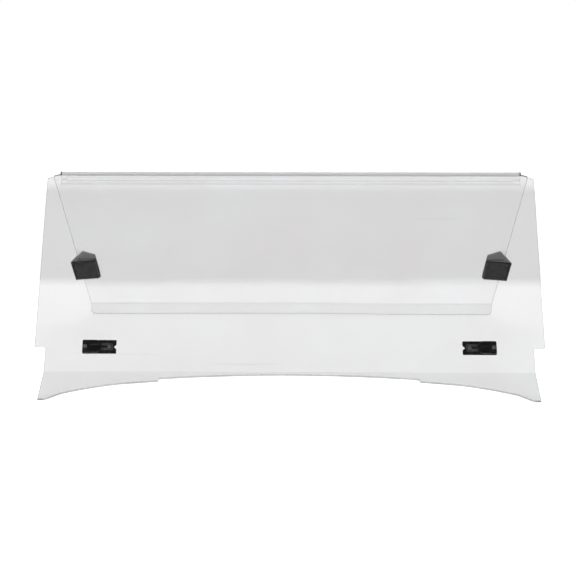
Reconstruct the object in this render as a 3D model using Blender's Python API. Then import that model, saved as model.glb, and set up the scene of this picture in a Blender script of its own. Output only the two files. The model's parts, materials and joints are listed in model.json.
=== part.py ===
"""Folding sneeze guard for a buffet bar.

Two clear sheets hang from a hinge along the ridge. The front one ends in an arched skirt,
the rear one in an upright lip. Black brackets hold the rear sheet's side edges, and black
slide latches sit low on the front sheet. +X runs along the ridge, +Y is the rear, +Z is up.
"""

from math import asin, cos, pi, radians, sin, sqrt, tan

import bmesh
import bpy
from mathutils import Vector

MM = 0.001
GAP = 0.3 * MM

# Hinge axis along the ridge.
AXIS_Y = -15.4 * MM
AXIS_Z = 471.0 * MM
FRONT_LEAN = radians(30.8)
REAR_LEAN = radians(38.9)

# Clear sheets.
THICK = 6.0 * MM
INNER_OFF = 2.7 * MM
OUTER_OFF = INNER_OFF + THICK
MID_OFF = INNER_OFF + THICK / 2
BEND_R = 10.0 * MM
BEND_STEPS = 5
TOP_U = 8.0 * MM
CHAMFER_X = 25.0 * MM
CHAMFER_U = 8.0 * MM
FRONT_HALF = 600.0 * MM
NECK_HALF = 574.0 * MM
NOTCH_U = 441.9 * MM
FOLD_U = 502.3 * MM
SKIRT_DROP = radians(31.0)
REAR_HALF = 591.5 * MM
LIP_U = 568.9 * MM
LIP_CORNER = 10.0 * MM
TIP_FLAT = 12.0 * MM
EDGE_STEP = 0.1 * MM

# Depth of the front skirt: a shallow arch, a step, a flare and a foot at each end.
ARCH_MIDDLE = 5.5 * MM
ARCH_STEP_X = 303.0 * MM
ARCH_STEP = 6.5 * MM
ARCH_STEP_RUN = 1.0 * MM
ARCH_FALL = 13.0 * MM
FLARE_FROM = 390.0 * MM
FLARE_RUN = 132.0 * MM
FLARE_FALL = 10.9 * MM
FLARE_CURVE = 1.7
FOOT_FROM = 522.0 * MM
FOOT_RUN = 40.0 * MM
FOOT_FALL = 8.2 * MM
FOOT_CURVE = 1.2
INNER_COLUMNS = 8
OUTER_COLUMNS = 13

GROUND_DEEP = 100.0 * MM

# Ridge hinge profile.
BARREL_R = 5.0 * MM
BORE_R = 3.3 * MM
BEAD_R = 3.0 * MM
LEAF_IN = 0.4 * MM
LEAF_OUT = 2.4 * MM
LEAF_END = 34.0 * MM
HINGE_HALF = 567.0 * MM
BEAD_HALF = 560.0 * MM
MOUTH_FRONT = radians(-24.0)
PLUG_R = 5.3 * MM
PLUG_THICK = 3.0 * MM
SPIGOT_LONG = 6.0 * MM

# Edge brackets on the rear sheet.
BRACKET_TOP = 197.9 * MM
BRACKET_BOTTOM = 134.0 * MM
BRACKET_INNER = 542.3 * MM
BRACKET_WAIST = 558.0 * MM
CHEEK_INNER = REAR_HALF + 0.8 * MM
CHEEK_OUTER = 604.7 * MM
CHEEK_TIP = 3.5 * MM
CHEEK_TRIM = 1.0 * MM
PAD_THICK = 1.0 * MM
PAD_MARGIN = 1.5 * MM
CLAMP_LOW = (26.0 * MM, 43.5 * MM)
CLAMP_HIGH = (20.0 * MM, 37.1 * MM)
CLAMP_CLEAR = 0.6 * MM
CHEEK_FORWARD = 45.0 * MM
BODY_DEEP = 62.7 * MM
CHEEK_BACK = 113.0 * MM
CHEEK_SCREW_HEIGHTS = (149.0 * MM, 182.0 * MM)
CHEEK_SCREW_FORWARD = 22.0 * MM
CHEEK_SINK = 3.2 * MM
CHEEK_SINK_R = 5.1 * MM
PAD_INSET = 3.0 * MM
BODY_BEVEL = 1.5 * MM
CLAMP_BEVEL = 0.8 * MM
CLAMP_INSET = 1.0 * MM
INSERT_R = 3.2 * MM
INSERT_FROM = 587.4 * MM
INSERT_TO = 594.9 * MM
INSERT_HOLE_FROM = 584.0 * MM
CHEEK_SCREW_END = 586.0 * MM

# Slide latches on the front sheet.
LATCH_X = 446.25 * MM
LATCH_U = 442.25 * MM
LATCH_LONG = 79.5 * MM
LATCH_HIGH = 32.5 * MM
BASE_THICK = 2.5 * MM
NOTCH_DEEP = 6.0 * MM
NOTCH_HALF = 5.5 * MM
COVER_OUT = 38.2 * MM
COVER_HALF = 14.75 * MM
COVER_TOP = 12.0 * MM
COVER_CENTRE = 8.0 * MM
COVER_CORNER = 2.5 * MM
COVER_BEVEL = 1.2 * MM
COVER_ARC_STEPS = 12
BASE_CORNER = 1.5 * MM
CHANNEL_MOUTH = -20.0 * MM
CHANNEL_END = 27.0 * MM
SLIDER_HALF = 8.5 * MM
SLIDER_TIP = -32.0 * MM
SLIDER_TAIL = 12.0 * MM
SLIDER_THICK = 3.0 * MM
SLIDER_CORNER = 2.5 * MM
TRAVEL = 14.0 * MM
SLOT_SCREW_X = -24.0 * MM
END_SCREW_X = 31.5 * MM
BACK_THICK = 1.5 * MM
BACK_HALF = 10.0 * MM
NUT_THICK = 3.2 * MM
NUT_R = 4.0 * MM
BACK_ENDS = (8.0 * MM, 7.0 * MM)

# Detent strip in a pocket of each latch cover's roof.
POCKET_FROM = 2.0 * MM
POCKET_TO = 24.0 * MM
POCKET_HALF = 3.0 * MM
POCKET_DEEP = 2.0 * MM
STRIP_FROM = 3.0 * MM
STRIP_LONG = 20.0 * MM
STRIP_HALF = 2.5 * MM
STRIP_THICK = 0.4 * MM
STRIP_RISE = 1.3 * MM
STRIP_CLEAR = 0.05 * MM
STRIP_STEPS = 8

# Screws.
SHANK_R = 2.0 * MM
HOLE_R = 2.3 * MM
SHEET_HOLE_R = 2.8 * MM
HEAD_R = 4.5 * MM
HEAD_HIGH = 2.6 * MM
HEAD_WALL = 1.4 * MM
HEAD_CROWN = 0.4 * MM
SHANK_TAPER = 0.5 * MM
SHANK_POINT = 0.7 * MM
SHANK_SPARE = 1.2 * MM
ROUND = 16


# Colour, roughness, metallic and alpha of each material.
LOOKS = {
    "clear": ((0.90, 0.93, 0.93), 0.06, 0.0, 0.30),
    "hinge": ((0.86, 0.90, 0.90), 0.18, 0.0, 0.45),
    "plug": ((0.10, 0.10, 0.10), 0.5),
    "black": ((0.028, 0.028, 0.030), 0.48),
    "rubber": ((0.020, 0.020, 0.020), 0.85),
    "steel": ((0.62, 0.62, 0.64), 0.30, 1.0),
    "dark_steel": ((0.06, 0.06, 0.065), 0.38, 1.0),
    "brass": ((0.78, 0.60, 0.28), 0.32, 1.0),
}


def clear_scene():
    for obj in list(bpy.data.objects):
        bpy.data.objects.remove(obj, do_unlink=True)


def material(name, colour, roughness, metallic=0.0, alpha=1.0):
    made = bpy.data.materials.new(name)
    made.use_nodes = True
    shader = made.node_tree.nodes["Principled BSDF"]
    shader.inputs["Base Color"].default_value = (*colour, 1.0)
    shader.inputs["Roughness"].default_value = roughness
    shader.inputs["Metallic"].default_value = metallic
    shader.inputs["Alpha"].default_value = alpha
    made.diffuse_color = (*colour, alpha)
    return made


def add_object(name, bm, colour_key, parent=None, place=None, smooth=False):
    """Closes the mesh's normals outward and links it as a named piece."""
    bmesh.ops.recalc_face_normals(bm, faces=bm.faces)
    mesh = bpy.data.meshes.new(name)
    bm.to_mesh(mesh)
    bm.free()
    obj = bpy.data.objects.new(name, mesh)
    bpy.context.scene.collection.objects.link(obj)
    mesh.materials.append(material(name, *LOOKS[colour_key]))
    if place is not None:
        obj.location = place[0]
        obj.rotation_euler = place[1]
    if parent is not None:
        obj.parent = parent
    if smooth:
        mesh.shade_smooth()
        mesh.set_sharp_from_angle(angle=radians(35.0))
    return obj


def prism(bm, outline, low, high, put):
    """Extrudes a closed outline between two levels; put turns (a, b, level) into a point."""
    lower = [bm.verts.new(put(a, b, low)) for a, b in outline]
    upper = [bm.verts.new(put(a, b, high)) for a, b in outline]
    bm.faces.new(lower[::-1])
    bm.faces.new(upper)
    count = len(outline)
    for i in range(count):
        j = (i + 1) % count
        bm.faces.new((lower[i], lower[j], upper[j], upper[i]))


def ring_prism(bm, outer, inner, low, high, put):
    """Extrudes the band between two outlines that have the same number of points."""
    rows = [[bm.verts.new(put(a, b, level)) for a, b in loop]
            for level, loop in ((low, outer), (high, outer), (high, inner), (low, inner))]
    count = len(outer)
    for k in range(4):
        here = rows[k]
        there = rows[(k + 1) % 4]
        for i in range(count):
            j = (i + 1) % count
            bm.faces.new((here[i], here[j], there[j], there[i]))


def lathe(bm, profile, centre, steps=ROUND):
    """Turns (radius, height) points about a line along local Z through centre."""
    rings = []
    for radius, height in profile:
        ring = []
        for k in range(steps):
            turn = 2 * pi * k / steps
            spot = (radius * cos(turn), radius * sin(turn), height)
            ring.append(bm.verts.new(Vector(centre) + Vector(spot)))
        rings.append(ring)
    bm.faces.new(rings[0][::-1])
    bm.faces.new(rings[-1])
    for low, high in zip(rings, rings[1:]):
        for i in range(steps):
            j = (i + 1) % steps
            bm.faces.new((low[i], low[j], high[j], high[i]))


def circle(radius, steps, centre=(0.0, 0.0)):
    return [(centre[0] + radius * cos(2 * pi * k / steps), centre[1] + radius * sin(2 * pi * k / steps))
            for k in range(steps)]


def flat_put(a, b, level):
    return (a, b, level)


def upright_put(a, b, level):
    return (a, level, b)


def cutter(name, bm, parent=None, place=None):
    bmesh.ops.recalc_face_normals(bm, faces=bm.faces)
    mesh = bpy.data.meshes.new(name)
    bm.to_mesh(mesh)
    bm.free()
    obj = bpy.data.objects.new(name, mesh)
    bpy.context.scene.collection.objects.link(obj)
    obj.hide_render = True
    obj.display_type = "WIRE"
    if place is not None:
        obj.location = place[0]
        obj.rotation_euler = place[1]
    if parent is not None:
        obj.parent = parent
    return obj


def cut(obj, tool):
    modifier = obj.modifiers.new("cut_" + tool.name, "BOOLEAN")
    modifier.operation = "DIFFERENCE"
    modifier.solver = "EXACT"
    modifier.object = tool


def slope_point(lean, side, u, off):
    """Point u down a sheet's slope and off outward from the hinge axis; side is -1 in front, +1 behind."""
    y = side * (u * sin(lean) + off * cos(lean))
    z = -u * cos(lean) + off * sin(lean)
    return y, z


class Folded:
    """Maps distance along a bent sheet to its cross-section, measured from the hinge axis."""

    def __init__(self, side, lean, fold_u, end_angle):
        self.side = side
        self.lean = lean
        self.end = end_angle
        self.turn = end_angle - lean
        self.tangent = BEND_R * tan(abs(self.turn) / 2)
        self.start_u = fold_u - self.tangent
        self.arc = BEND_R * abs(self.turn)
        self.end_u = self.start_u + self.arc

    def spot(self, u, off):
        """Cross-section point; off is measured outward from the sheet's middle."""
        y0, z0 = slope_point(self.lean, self.side, min(u, self.start_u), MID_OFF)
        angle = self.lean
        if u > self.start_u:
            bent = min(u, self.end_u) - self.start_u
            sign = 1 if self.turn > 0 else -1
            angle = self.lean + sign * bent / BEND_R
            chord = 2 * BEND_R * sin(bent / BEND_R / 2)
            middle = (self.lean + angle) / 2
            y0 += self.side * chord * sin(middle)
            z0 -= chord * cos(middle)
        if u > self.end_u:
            rest = u - self.end_u
            y0 += self.side * rest * sin(self.end)
            z0 -= rest * cos(self.end)
        return y0 + self.side * off * cos(angle), z0 + off * sin(angle)


def folded_sheet(bm, fold, columns, end_of, panel):
    """Solid sheet: a flat panel, a bend and a flange whose length follows end_of(x)."""
    steps = [fold.start_u + fold.arc * k / BEND_STEPS for k in range(BEND_STEPS + 1)]
    skins = []
    for off in (THICK / 2, -THICK / 2):
        verts = {}

        def vert(x, u):
            key = (round(x, 7), round(u, 7))
            if key not in verts:
                y, z = fold.spot(u, off)
                verts[key] = bm.verts.new((x, y, z))
            return verts[key]

        faces = [[vert(x, fold.start_u) for x in columns] + [vert(x, u) for x, u in panel]]
        for left, right in zip(columns, columns[1:]):
            for low, high in zip(steps, steps[1:]):
                faces.append([vert(left, low), vert(left, high), vert(right, high), vert(right, low)])
            faces.append([vert(left, fold.end_u), vert(left, end_of(left)),
                          vert(right, end_of(right)), vert(right, fold.end_u)])
        skins.append((verts, faces))
    outer, inner = skins
    match = {outer[0][key]: inner[0][key] for key in outer[0]}
    used = {}
    for face in outer[1]:
        bm.faces.new(face)
        for a, b in zip(face, face[1:] + face[:1]):
            edge = frozenset((a, b))
            used[edge] = None if edge in used else (a, b)
    for face in inner[1]:
        bm.faces.new(face[::-1])
    for pair in used.values():
        if pair is not None:
            a, b = pair
            bm.faces.new((b, a, match[a], match[b]))


def arch_depth(x):
    """Length of the skirt below the fold line at x."""
    reach = min(abs(x), NECK_HALF - TIP_FLAT)
    depth = ARCH_MIDDLE + ARCH_FALL * (reach / ARCH_STEP_X) ** 2
    depth += FLARE_FALL * (max(0.0, reach - FLARE_FROM) / FLARE_RUN) ** FLARE_CURVE
    depth += FOOT_FALL * (max(0.0, reach - FOOT_FROM) / FOOT_RUN) ** FOOT_CURVE
    if reach > ARCH_STEP_X + EDGE_STEP:
        depth += ARCH_STEP
    return depth


def front_columns():
    """Distances across the front sheet: even, with a close pair at the arch's step."""
    flat = NECK_HALF - TIP_FLAT
    start = ARCH_STEP_X + ARCH_STEP_RUN
    inner = [ARCH_STEP_X * k / INNER_COLUMNS for k in range(1, INNER_COLUMNS + 1)]
    outer = [start + (flat - start) * k / OUTER_COLUMNS for k in range(OUTER_COLUMNS + 1)]
    half = inner + outer + [NECK_HALF]
    return [-x for x in reversed(half)] + [0.0] + half


def make_front_sheet(ridge):
    fold = Folded(-1, FRONT_LEAN, FOLD_U, pi / 2 - SKIRT_DROP)

    def end_of(x):
        return fold.end_u + arch_depth(x) - fold.tangent

    panel = [(NECK_HALF, NOTCH_U), (FRONT_HALF, NOTCH_U), (FRONT_HALF, TOP_U + CHAMFER_U),
             (FRONT_HALF - CHAMFER_X, TOP_U)]
    panel += [(-x, u) for x, u in reversed(panel)]
    bm = bmesh.new()
    folded_sheet(bm, fold, front_columns(), end_of, panel)
    sheet = add_object("front_shield", bm, "clear", ridge)
    holes = bmesh.new()
    for side in (-1, 1):
        for along in (SLOT_SCREW_X, END_SCREW_X):
            lathe(holes, ((SHEET_HOLE_R, -2 * THICK), (SHEET_HOLE_R, THICK)),
                  (side * (LATCH_X + along), 0.0, 0.0))
    tool = cutter("front_holes", holes, ridge, latch_frame(0.0))
    cut(sheet, tool)
    ground = bmesh.new()
    below = ((-FRONT_HALF, -FRONT_HALF), (FRONT_HALF, -FRONT_HALF), (FRONT_HALF, 0.0), (-FRONT_HALF, 0.0))
    prism(ground, below, -GROUND_DEEP, 0.0, flat_put)
    cut(sheet, cutter("ground_cut", ground))
    return sheet


def rear_columns():
    """Distances across the rear sheet, dense at the lip's rounded corners."""
    half = [REAR_HALF - LIP_CORNER * (1 - sin(radians(a))) for a in (0, 22.5, 45, 67.5, 90)]
    return [-x for x in reversed(half)] + half


def make_rear_sheet(ridge):
    fold = Folded(1, REAR_LEAN, LIP_U, 0.0)
    bottom = AXIS_Z + fold.spot(fold.end_u, 0.0)[1]

    def end_of(x):
        inset = max(0.0, abs(x) - (REAR_HALF - LIP_CORNER))
        lift = LIP_CORNER - sqrt(max(0.0, LIP_CORNER ** 2 - inset ** 2))
        return fold.end_u + bottom - lift

    panel = [(REAR_HALF, TOP_U + CHAMFER_U), (REAR_HALF - CHAMFER_X, TOP_U)]
    panel += [(-x, u) for x, u in reversed(panel)]
    bm = bmesh.new()
    folded_sheet(bm, fold, rear_columns(), end_of, panel)
    return add_object("rear_shield", bm, "clear", ridge)


def polar(radius, angle):
    """Cross-section point at an angle from straight down, positive towards the rear."""
    return radius * sin(angle), -radius * cos(angle)


def along_x(a, b, level):
    return (level, a, b)


def make_hinge(ridge):
    # The mouth's rear end lies along the neck, so it stops the guard from opening further.
    stop_off = LEAF_OUT + GAP
    inner_end = REAR_LEAN + asin(stop_off / BORE_R)
    outer_end = REAR_LEAN + asin(stop_off / BARREL_R)
    steps = 20
    full = 2 * pi
    outline = []
    leaf_from = -FRONT_LEAN - asin(LEAF_OUT / BARREL_R)
    leaf_to = -FRONT_LEAN - asin(LEAF_IN / BARREL_R)
    for k in range(steps + 1):
        outline.append(polar(BARREL_R, outer_end + (full + leaf_from - outer_end) * k / steps))
    outline.append(slope_point(FRONT_LEAN, -1, LEAF_END, LEAF_OUT))
    outline.append(slope_point(FRONT_LEAN, -1, LEAF_END, LEAF_IN))
    outline.append(polar(BARREL_R, leaf_to))
    outline.append(polar(BARREL_R, MOUTH_FRONT))
    for k in range(steps + 1):
        outline.append(polar(BORE_R, full + MOUTH_FRONT + (inner_end - full - MOUTH_FRONT) * k / steps))
    bm = bmesh.new()
    prism(bm, outline, -HINGE_HALF, HINGE_HALF, along_x)
    add_object("hinge_socket", bm, "hinge", ridge, smooth=True)
    bead_from = REAR_LEAN + asin(LEAF_OUT / BEAD_R)
    bead_to = full + REAR_LEAN + asin(LEAF_IN / BEAD_R)
    outline = [polar(BEAD_R, bead_from + (bead_to - bead_from) * k / steps) for k in range(steps + 1)]
    outline.append(slope_point(REAR_LEAN, 1, LEAF_END, LEAF_IN))
    outline.append(slope_point(REAR_LEAN, 1, LEAF_END, LEAF_OUT))
    bm = bmesh.new()
    prism(bm, outline, -BEAD_HALF, BEAD_HALF, along_x)
    add_object("hinge_bead", bm, "hinge", ridge, smooth=True)
    for side, tag in ((-1, "L"), (1, "R")):
        bm = bmesh.new()
        top = GAP + PLUG_THICK
        profile = ((BEAD_R, -SPIGOT_LONG), (BEAD_R, GAP), (PLUG_R, GAP), (PLUG_R, top - MM),
                   (PLUG_R - MM, top))
        lathe(bm, profile, (0.0, 0.0, 0.0), 20)
        turn = (0.0, side * pi / 2, 0.0)
        add_object("hinge_plug_" + tag, bm, "plug", ridge,
                   ((side * HINGE_HALF, 0.0, 0.0), turn), smooth=True)


def rear_frame():
    """Origin and rotation of the rear sheet's front face: local Y up the slope, Z out of its front."""
    y, z = slope_point(REAR_LEAN, 1, 0.0, INNER_OFF)
    return (0.0, y, z), (pi / 2 + REAR_LEAN, 0.0, 0.0)


def bracket_middle():
    """Place up the rear slope, in its frame, of the bracket's middle height."""
    height = (BRACKET_TOP + BRACKET_BOTTOM) / 2 - AXIS_Z
    return (height - INNER_OFF * sin(REAR_LEAN)) / cos(REAR_LEAN)


def face_y(height, off):
    """Y, from the axis, of the plane parallel to the rear sheet at off outward, at a height above ground."""
    drop = AXIS_Z - height
    u = (drop + off * sin(REAR_LEAN)) / cos(REAR_LEAN)
    return slope_point(REAR_LEAN, 1, u, off)[0]


def sloped_block(bm, low_plan, high_plan, side, off):
    """Block between the bracket's level ends; plans give (x, distance behind the plane at off)."""
    rows = []
    for height, plan in ((BRACKET_BOTTOM, low_plan), (BRACKET_TOP, high_plan)):
        front = face_y(height, off)
        rows.append([bm.verts.new((side * x, front + back, height - AXIS_Z)) for x, back in plan])
    low, high = rows
    bm.faces.new(low[::-1])
    bm.faces.new(high)
    for i in range(len(low)):
        j = (i + 1) % len(low)
        bm.faces.new((low[i], low[j], high[j], high[i]))


def bevel_all(bm, width, sharper=radians(25.0)):
    edges = [e for e in bm.edges if len(e.link_faces) == 2 and e.calc_face_angle() > sharper]
    bmesh.ops.bevel(bm, geom=edges, offset=width, offset_type="OFFSET", segments=1, profile=0.5,
                    affect="EDGES", clamp_overlap=True)


def wedge_x(forward):
    """X of the cheek's tapered inner face at a distance forward of the body's front plane."""
    return CHEEK_INNER + (CHEEK_OUTER - CHEEK_TIP - CHEEK_INNER) * forward / CHEEK_FORWARD


def cheek_frames(side):
    """Origin and rotation at each cheek screw: local Z runs outward along the ridge's line."""
    seat_off = OUTER_OFF + 2 * GAP + PAD_THICK
    return [((0.0, face_y(height, seat_off) - CHEEK_SCREW_FORWARD, height - AXIS_Z),
             (0.0, side * pi / 2, 0.0)) for height in CHEEK_SCREW_HEIGHTS]


def make_bracket_body(ridge, side, tag):
    """Block behind the sheet's side edge, with a cheek that tapers forward past the edge."""
    seat_off = OUTER_OFF + 2 * GAP + PAD_THICK
    plan = ((BRACKET_INNER, 0.0), (BRACKET_WAIST, BODY_DEEP), (CHEEK_OUTER, CHEEK_BACK),
            (CHEEK_OUTER, -CHEEK_FORWARD), (wedge_x(CHEEK_FORWARD), -CHEEK_FORWARD), (CHEEK_INNER, 0.0))
    bm = bmesh.new()
    sloped_block(bm, plan, plan, side, seat_off)
    back = face_y(BRACKET_TOP, seat_off) + CHEEK_BACK
    geom = bm.verts[:] + bm.edges[:] + bm.faces[:]
    cut_face = bmesh.ops.bisect_plane(bm, geom=geom, dist=1e-7, plane_co=(0, back - CHEEK_TRIM, 0),
                                      plane_no=(0, 1, 0), clear_outer=True)
    rim = [e for e in cut_face["geom_cut"] if isinstance(e, bmesh.types.BMEdge)]
    bmesh.ops.contextual_create(bm, geom=rim)
    bmesh.ops.recalc_face_normals(bm, faces=bm.faces)
    bevel_all(bm, BODY_BEVEL)
    body = add_object("bracket_body_" + tag, bm, "black", ridge)
    sink = CHEEK_OUTER - CHEEK_SINK
    for number, place in enumerate(cheek_frames(side), 1):
        bore = bmesh.new()
        lathe(bore, ((HOLE_R, BRACKET_INNER), (HOLE_R, sink), (CHEEK_SINK_R, sink),
                     (CHEEK_SINK_R, CHEEK_OUTER + MM)), (0.0, 0.0, 0.0))
        cut(body, cutter(f"bracket_bore_{tag}{number}", bore, ridge, place))


def make_bracket_grip(ridge, side, tag):
    """Rubber pad behind the sheet and wedge-shaped clamp block in front of it."""
    half_up = (BRACKET_TOP - BRACKET_BOTTOM) / 2 / cos(REAR_LEAN) - PAD_INSET
    middle = bracket_middle()
    pad_mid = (BRACKET_INNER + REAR_HALF) / 2
    pad_half = (REAR_HALF - BRACKET_INNER) / 2 - PAD_MARGIN
    outline = ((-pad_half, -half_up), (pad_half, -half_up), (pad_half, half_up), (-pad_half, half_up))
    outline = [(side * pad_mid + a, middle + b) for a, b in outline]
    bm = bmesh.new()
    prism(bm, outline, -(THICK + GAP + PAD_THICK), -(THICK + GAP), flat_put)
    add_object("bracket_pad_" + tag, bm, "rubber", ridge, rear_frame())
    seat_off = OUTER_OFF + 2 * GAP + PAD_THICK
    rest = (seat_off - INNER_OFF + GAP) / cos(REAR_LEAN)
    inner = BRACKET_INNER + CLAMP_INSET
    plans = []
    for near, far in (CLAMP_LOW, CLAMP_HIGH):
        plans.append(((inner, -rest), (wedge_x(rest) - CLAMP_CLEAR, -rest),
                      (wedge_x(far) - CLAMP_CLEAR, -far), (inner, -near)))
    bm = bmesh.new()
    sloped_block(bm, plans[0], plans[1], side, seat_off)
    bmesh.ops.recalc_face_normals(bm, faces=bm.faces)
    bevel_all(bm, CLAMP_BEVEL)
    clamp = add_object("bracket_clamp_" + tag, bm, "black", ridge)
    for number, place in enumerate(cheek_frames(side), 1):
        bore = bmesh.new()
        lathe(bore, ((INSERT_R + GAP, INSERT_HOLE_FROM), (INSERT_R + GAP, CHEEK_OUTER)), (0.0, 0.0, 0.0))
        cut(clamp, cutter(f"clamp_bore_{tag}{number}", bore, ridge, place))


def make_bracket_fixings(ridge, side, tag):
    """Screws through the cheek from outside, into brass inserts in the clamp block."""
    for number, place in enumerate(cheek_frames(side), 1):
        bm = bmesh.new()
        lathe(bm, screw_profile(CHEEK_SCREW_END, CHEEK_OUTER - CHEEK_SINK + GAP), (0.0, 0.0, 0.0))
        add_object(f"bracket_screw_{tag}{number}", bm, "dark_steel", ridge, place, smooth=True)
        bm = bmesh.new()
        ring_prism(bm, circle(INSERT_R, ROUND), circle(SHANK_R + GAP, ROUND), INSERT_FROM, INSERT_TO, flat_put)
        add_object(f"bracket_insert_{tag}{number}", bm, "brass", ridge, place, smooth=True)


def screw_profile(end, under_head):
    """Pan-head screw from its end up to its head."""
    top = under_head + HEAD_HIGH
    return ((SHANK_R - SHANK_TAPER, end), (SHANK_R, end + SHANK_POINT), (SHANK_R, under_head),
            (HEAD_R, under_head), (HEAD_R, under_head + HEAD_WALL), (HEAD_R * 0.86, top - HEAD_CROWN),
            (HEAD_R * 0.55, top))


def latch_frame(x):
    """Origin and rotation on the front sheet's outer face: local Y up the slope, Z outward."""
    y, z = slope_point(FRONT_LEAN, -1, LATCH_U, OUTER_OFF)
    return (x, y, z), (pi / 2 - FRONT_LEAN, 0.0, 0.0)


def mirrored(outline, side):
    return [(side * a, b) for a, b in outline]


def slot_outline(low, high, radius, steps=6):
    """Rounded slot along local X."""
    points = []
    for k in range(steps + 1):
        turn = pi / 2 + pi * k / steps
        points.append((low + radius + radius * cos(turn), radius * sin(turn)))
    for k in range(steps + 1):
        turn = -pi / 2 + pi * k / steps
        points.append((high - radius + radius * cos(turn), radius * sin(turn)))
    return points


def make_latch_base(ridge, side, tag, screw_tool):
    half = LATCH_LONG / 2
    tall = LATCH_HIGH / 2
    edge = BASE_CORNER
    outline = ((-half + edge, -tall), (half - edge, -tall), (half, -tall + edge), (half, tall - edge),
               (half - edge, tall), (-half + edge, tall), (-half, tall - edge), (-half, NOTCH_HALF),
               (-half + NOTCH_DEEP, 0.0), (-half, -NOTCH_HALF), (-half, -tall + edge))
    bm = bmesh.new()
    prism(bm, mirrored(outline, side), GAP, GAP + BASE_THICK, flat_put)
    base = add_object("latch_base_" + tag, bm, "black", ridge, latch_frame(side * LATCH_X))
    cut(base, screw_tool)


def cover_outline():
    """Outline of a cover: square outer end with cut corners, half-round inner end."""
    edge = COVER_CORNER
    points = [(COVER_OUT, -COVER_HALF + edge), (COVER_OUT, COVER_HALF - edge), (COVER_OUT - edge, COVER_HALF)]
    for k in range(COVER_ARC_STEPS + 1):
        turn = pi / 2 + pi * k / COVER_ARC_STEPS
        points.append((COVER_CENTRE + COVER_HALF * cos(turn), COVER_HALF * sin(turn)))
    points.append((COVER_OUT - edge, -COVER_HALF))
    return points


def make_latch_cover(ridge, side, tag, screw_tool):
    floor = 2 * GAP + BASE_THICK
    bm = bmesh.new()
    outline = mirrored(cover_outline(), side)
    prism(bm, outline, floor, COVER_TOP, flat_put)
    bmesh.ops.recalc_face_normals(bm, faces=bm.faces)
    top = [e for e in bm.edges if all(abs(v.co.z - COVER_TOP) < 1e-6 for v in e.verts)]
    bmesh.ops.bevel(bm, geom=top, offset=COVER_BEVEL, offset_type="OFFSET", segments=2, profile=0.5,
                    affect="EDGES", clamp_overlap=True)
    cover = add_object("latch_cover_" + tag, bm, "black", ridge, latch_frame(side * LATCH_X))
    channel = bmesh.new()
    reach = SLIDER_HALF + GAP
    roof = floor + GAP + SLIDER_THICK + GAP
    box = ((CHANNEL_MOUTH, -reach), (CHANNEL_END, -reach), (CHANNEL_END, reach), (CHANNEL_MOUTH, reach))
    prism(channel, mirrored(box, side), -MM, roof, flat_put)
    cut(cover, cutter("latch_channel_" + tag, channel, ridge, latch_frame(side * LATCH_X)))
    pocket = bmesh.new()
    box = ((POCKET_FROM, -POCKET_HALF), (POCKET_TO, -POCKET_HALF), (POCKET_TO, POCKET_HALF),
           (POCKET_FROM, POCKET_HALF))
    prism(pocket, mirrored(box, side), roof - MM, roof + POCKET_DEEP, flat_put)
    cut(cover, cutter("latch_pocket_" + tag, pocket, ridge, latch_frame(side * LATCH_X)))
    cut(cover, screw_tool)
    make_detent(ridge, side, tag, roof)


def make_detent(ridge, side, tag, roof):
    """Bowed spring strip whose middle rubs on the slider; its ends bear on the pocket's roof."""
    low = roof + STRIP_CLEAR + STRIP_THICK
    upper = []
    for k in range(STRIP_STEPS + 1):
        bow = 1 - sin(pi * k / STRIP_STEPS)
        upper.append((STRIP_FROM + STRIP_LONG * k / STRIP_STEPS, low + STRIP_RISE * bow))
    outline = upper + [(x, z - STRIP_THICK) for x, z in reversed(upper)]
    strip = bmesh.new()
    prism(strip, mirrored(outline, side), -STRIP_HALF, STRIP_HALF, upright_put)
    add_object("latch_detent_" + tag, strip, "steel", ridge, latch_frame(side * LATCH_X))


def make_latch_slider(ridge, side, tag):
    low = 3 * GAP + BASE_THICK
    edge = SLIDER_CORNER
    outline = ((SLIDER_TIP, -SLIDER_HALF + edge), (SLIDER_TIP + edge, -SLIDER_HALF),
               (SLIDER_TAIL, -SLIDER_HALF), (SLIDER_TAIL, SLIDER_HALF),
               (SLIDER_TIP + edge, SLIDER_HALF), (SLIDER_TIP, SLIDER_HALF - edge))
    bm = bmesh.new()
    prism(bm, mirrored(outline, side), low, low + SLIDER_THICK, flat_put)
    slider = add_object("latch_slider_" + tag, bm, "black", ridge, latch_frame(side * LATCH_X))
    slot = bmesh.new()
    room = SHANK_R + GAP
    outline = slot_outline(SLOT_SCREW_X - room, SLOT_SCREW_X + TRAVEL + room, room)
    prism(slot, mirrored(outline, side), 0.0, 2 * COVER_TOP, flat_put)
    cut(slider, cutter("latch_slot_" + tag, slot, ridge, latch_frame(side * LATCH_X)))


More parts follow.
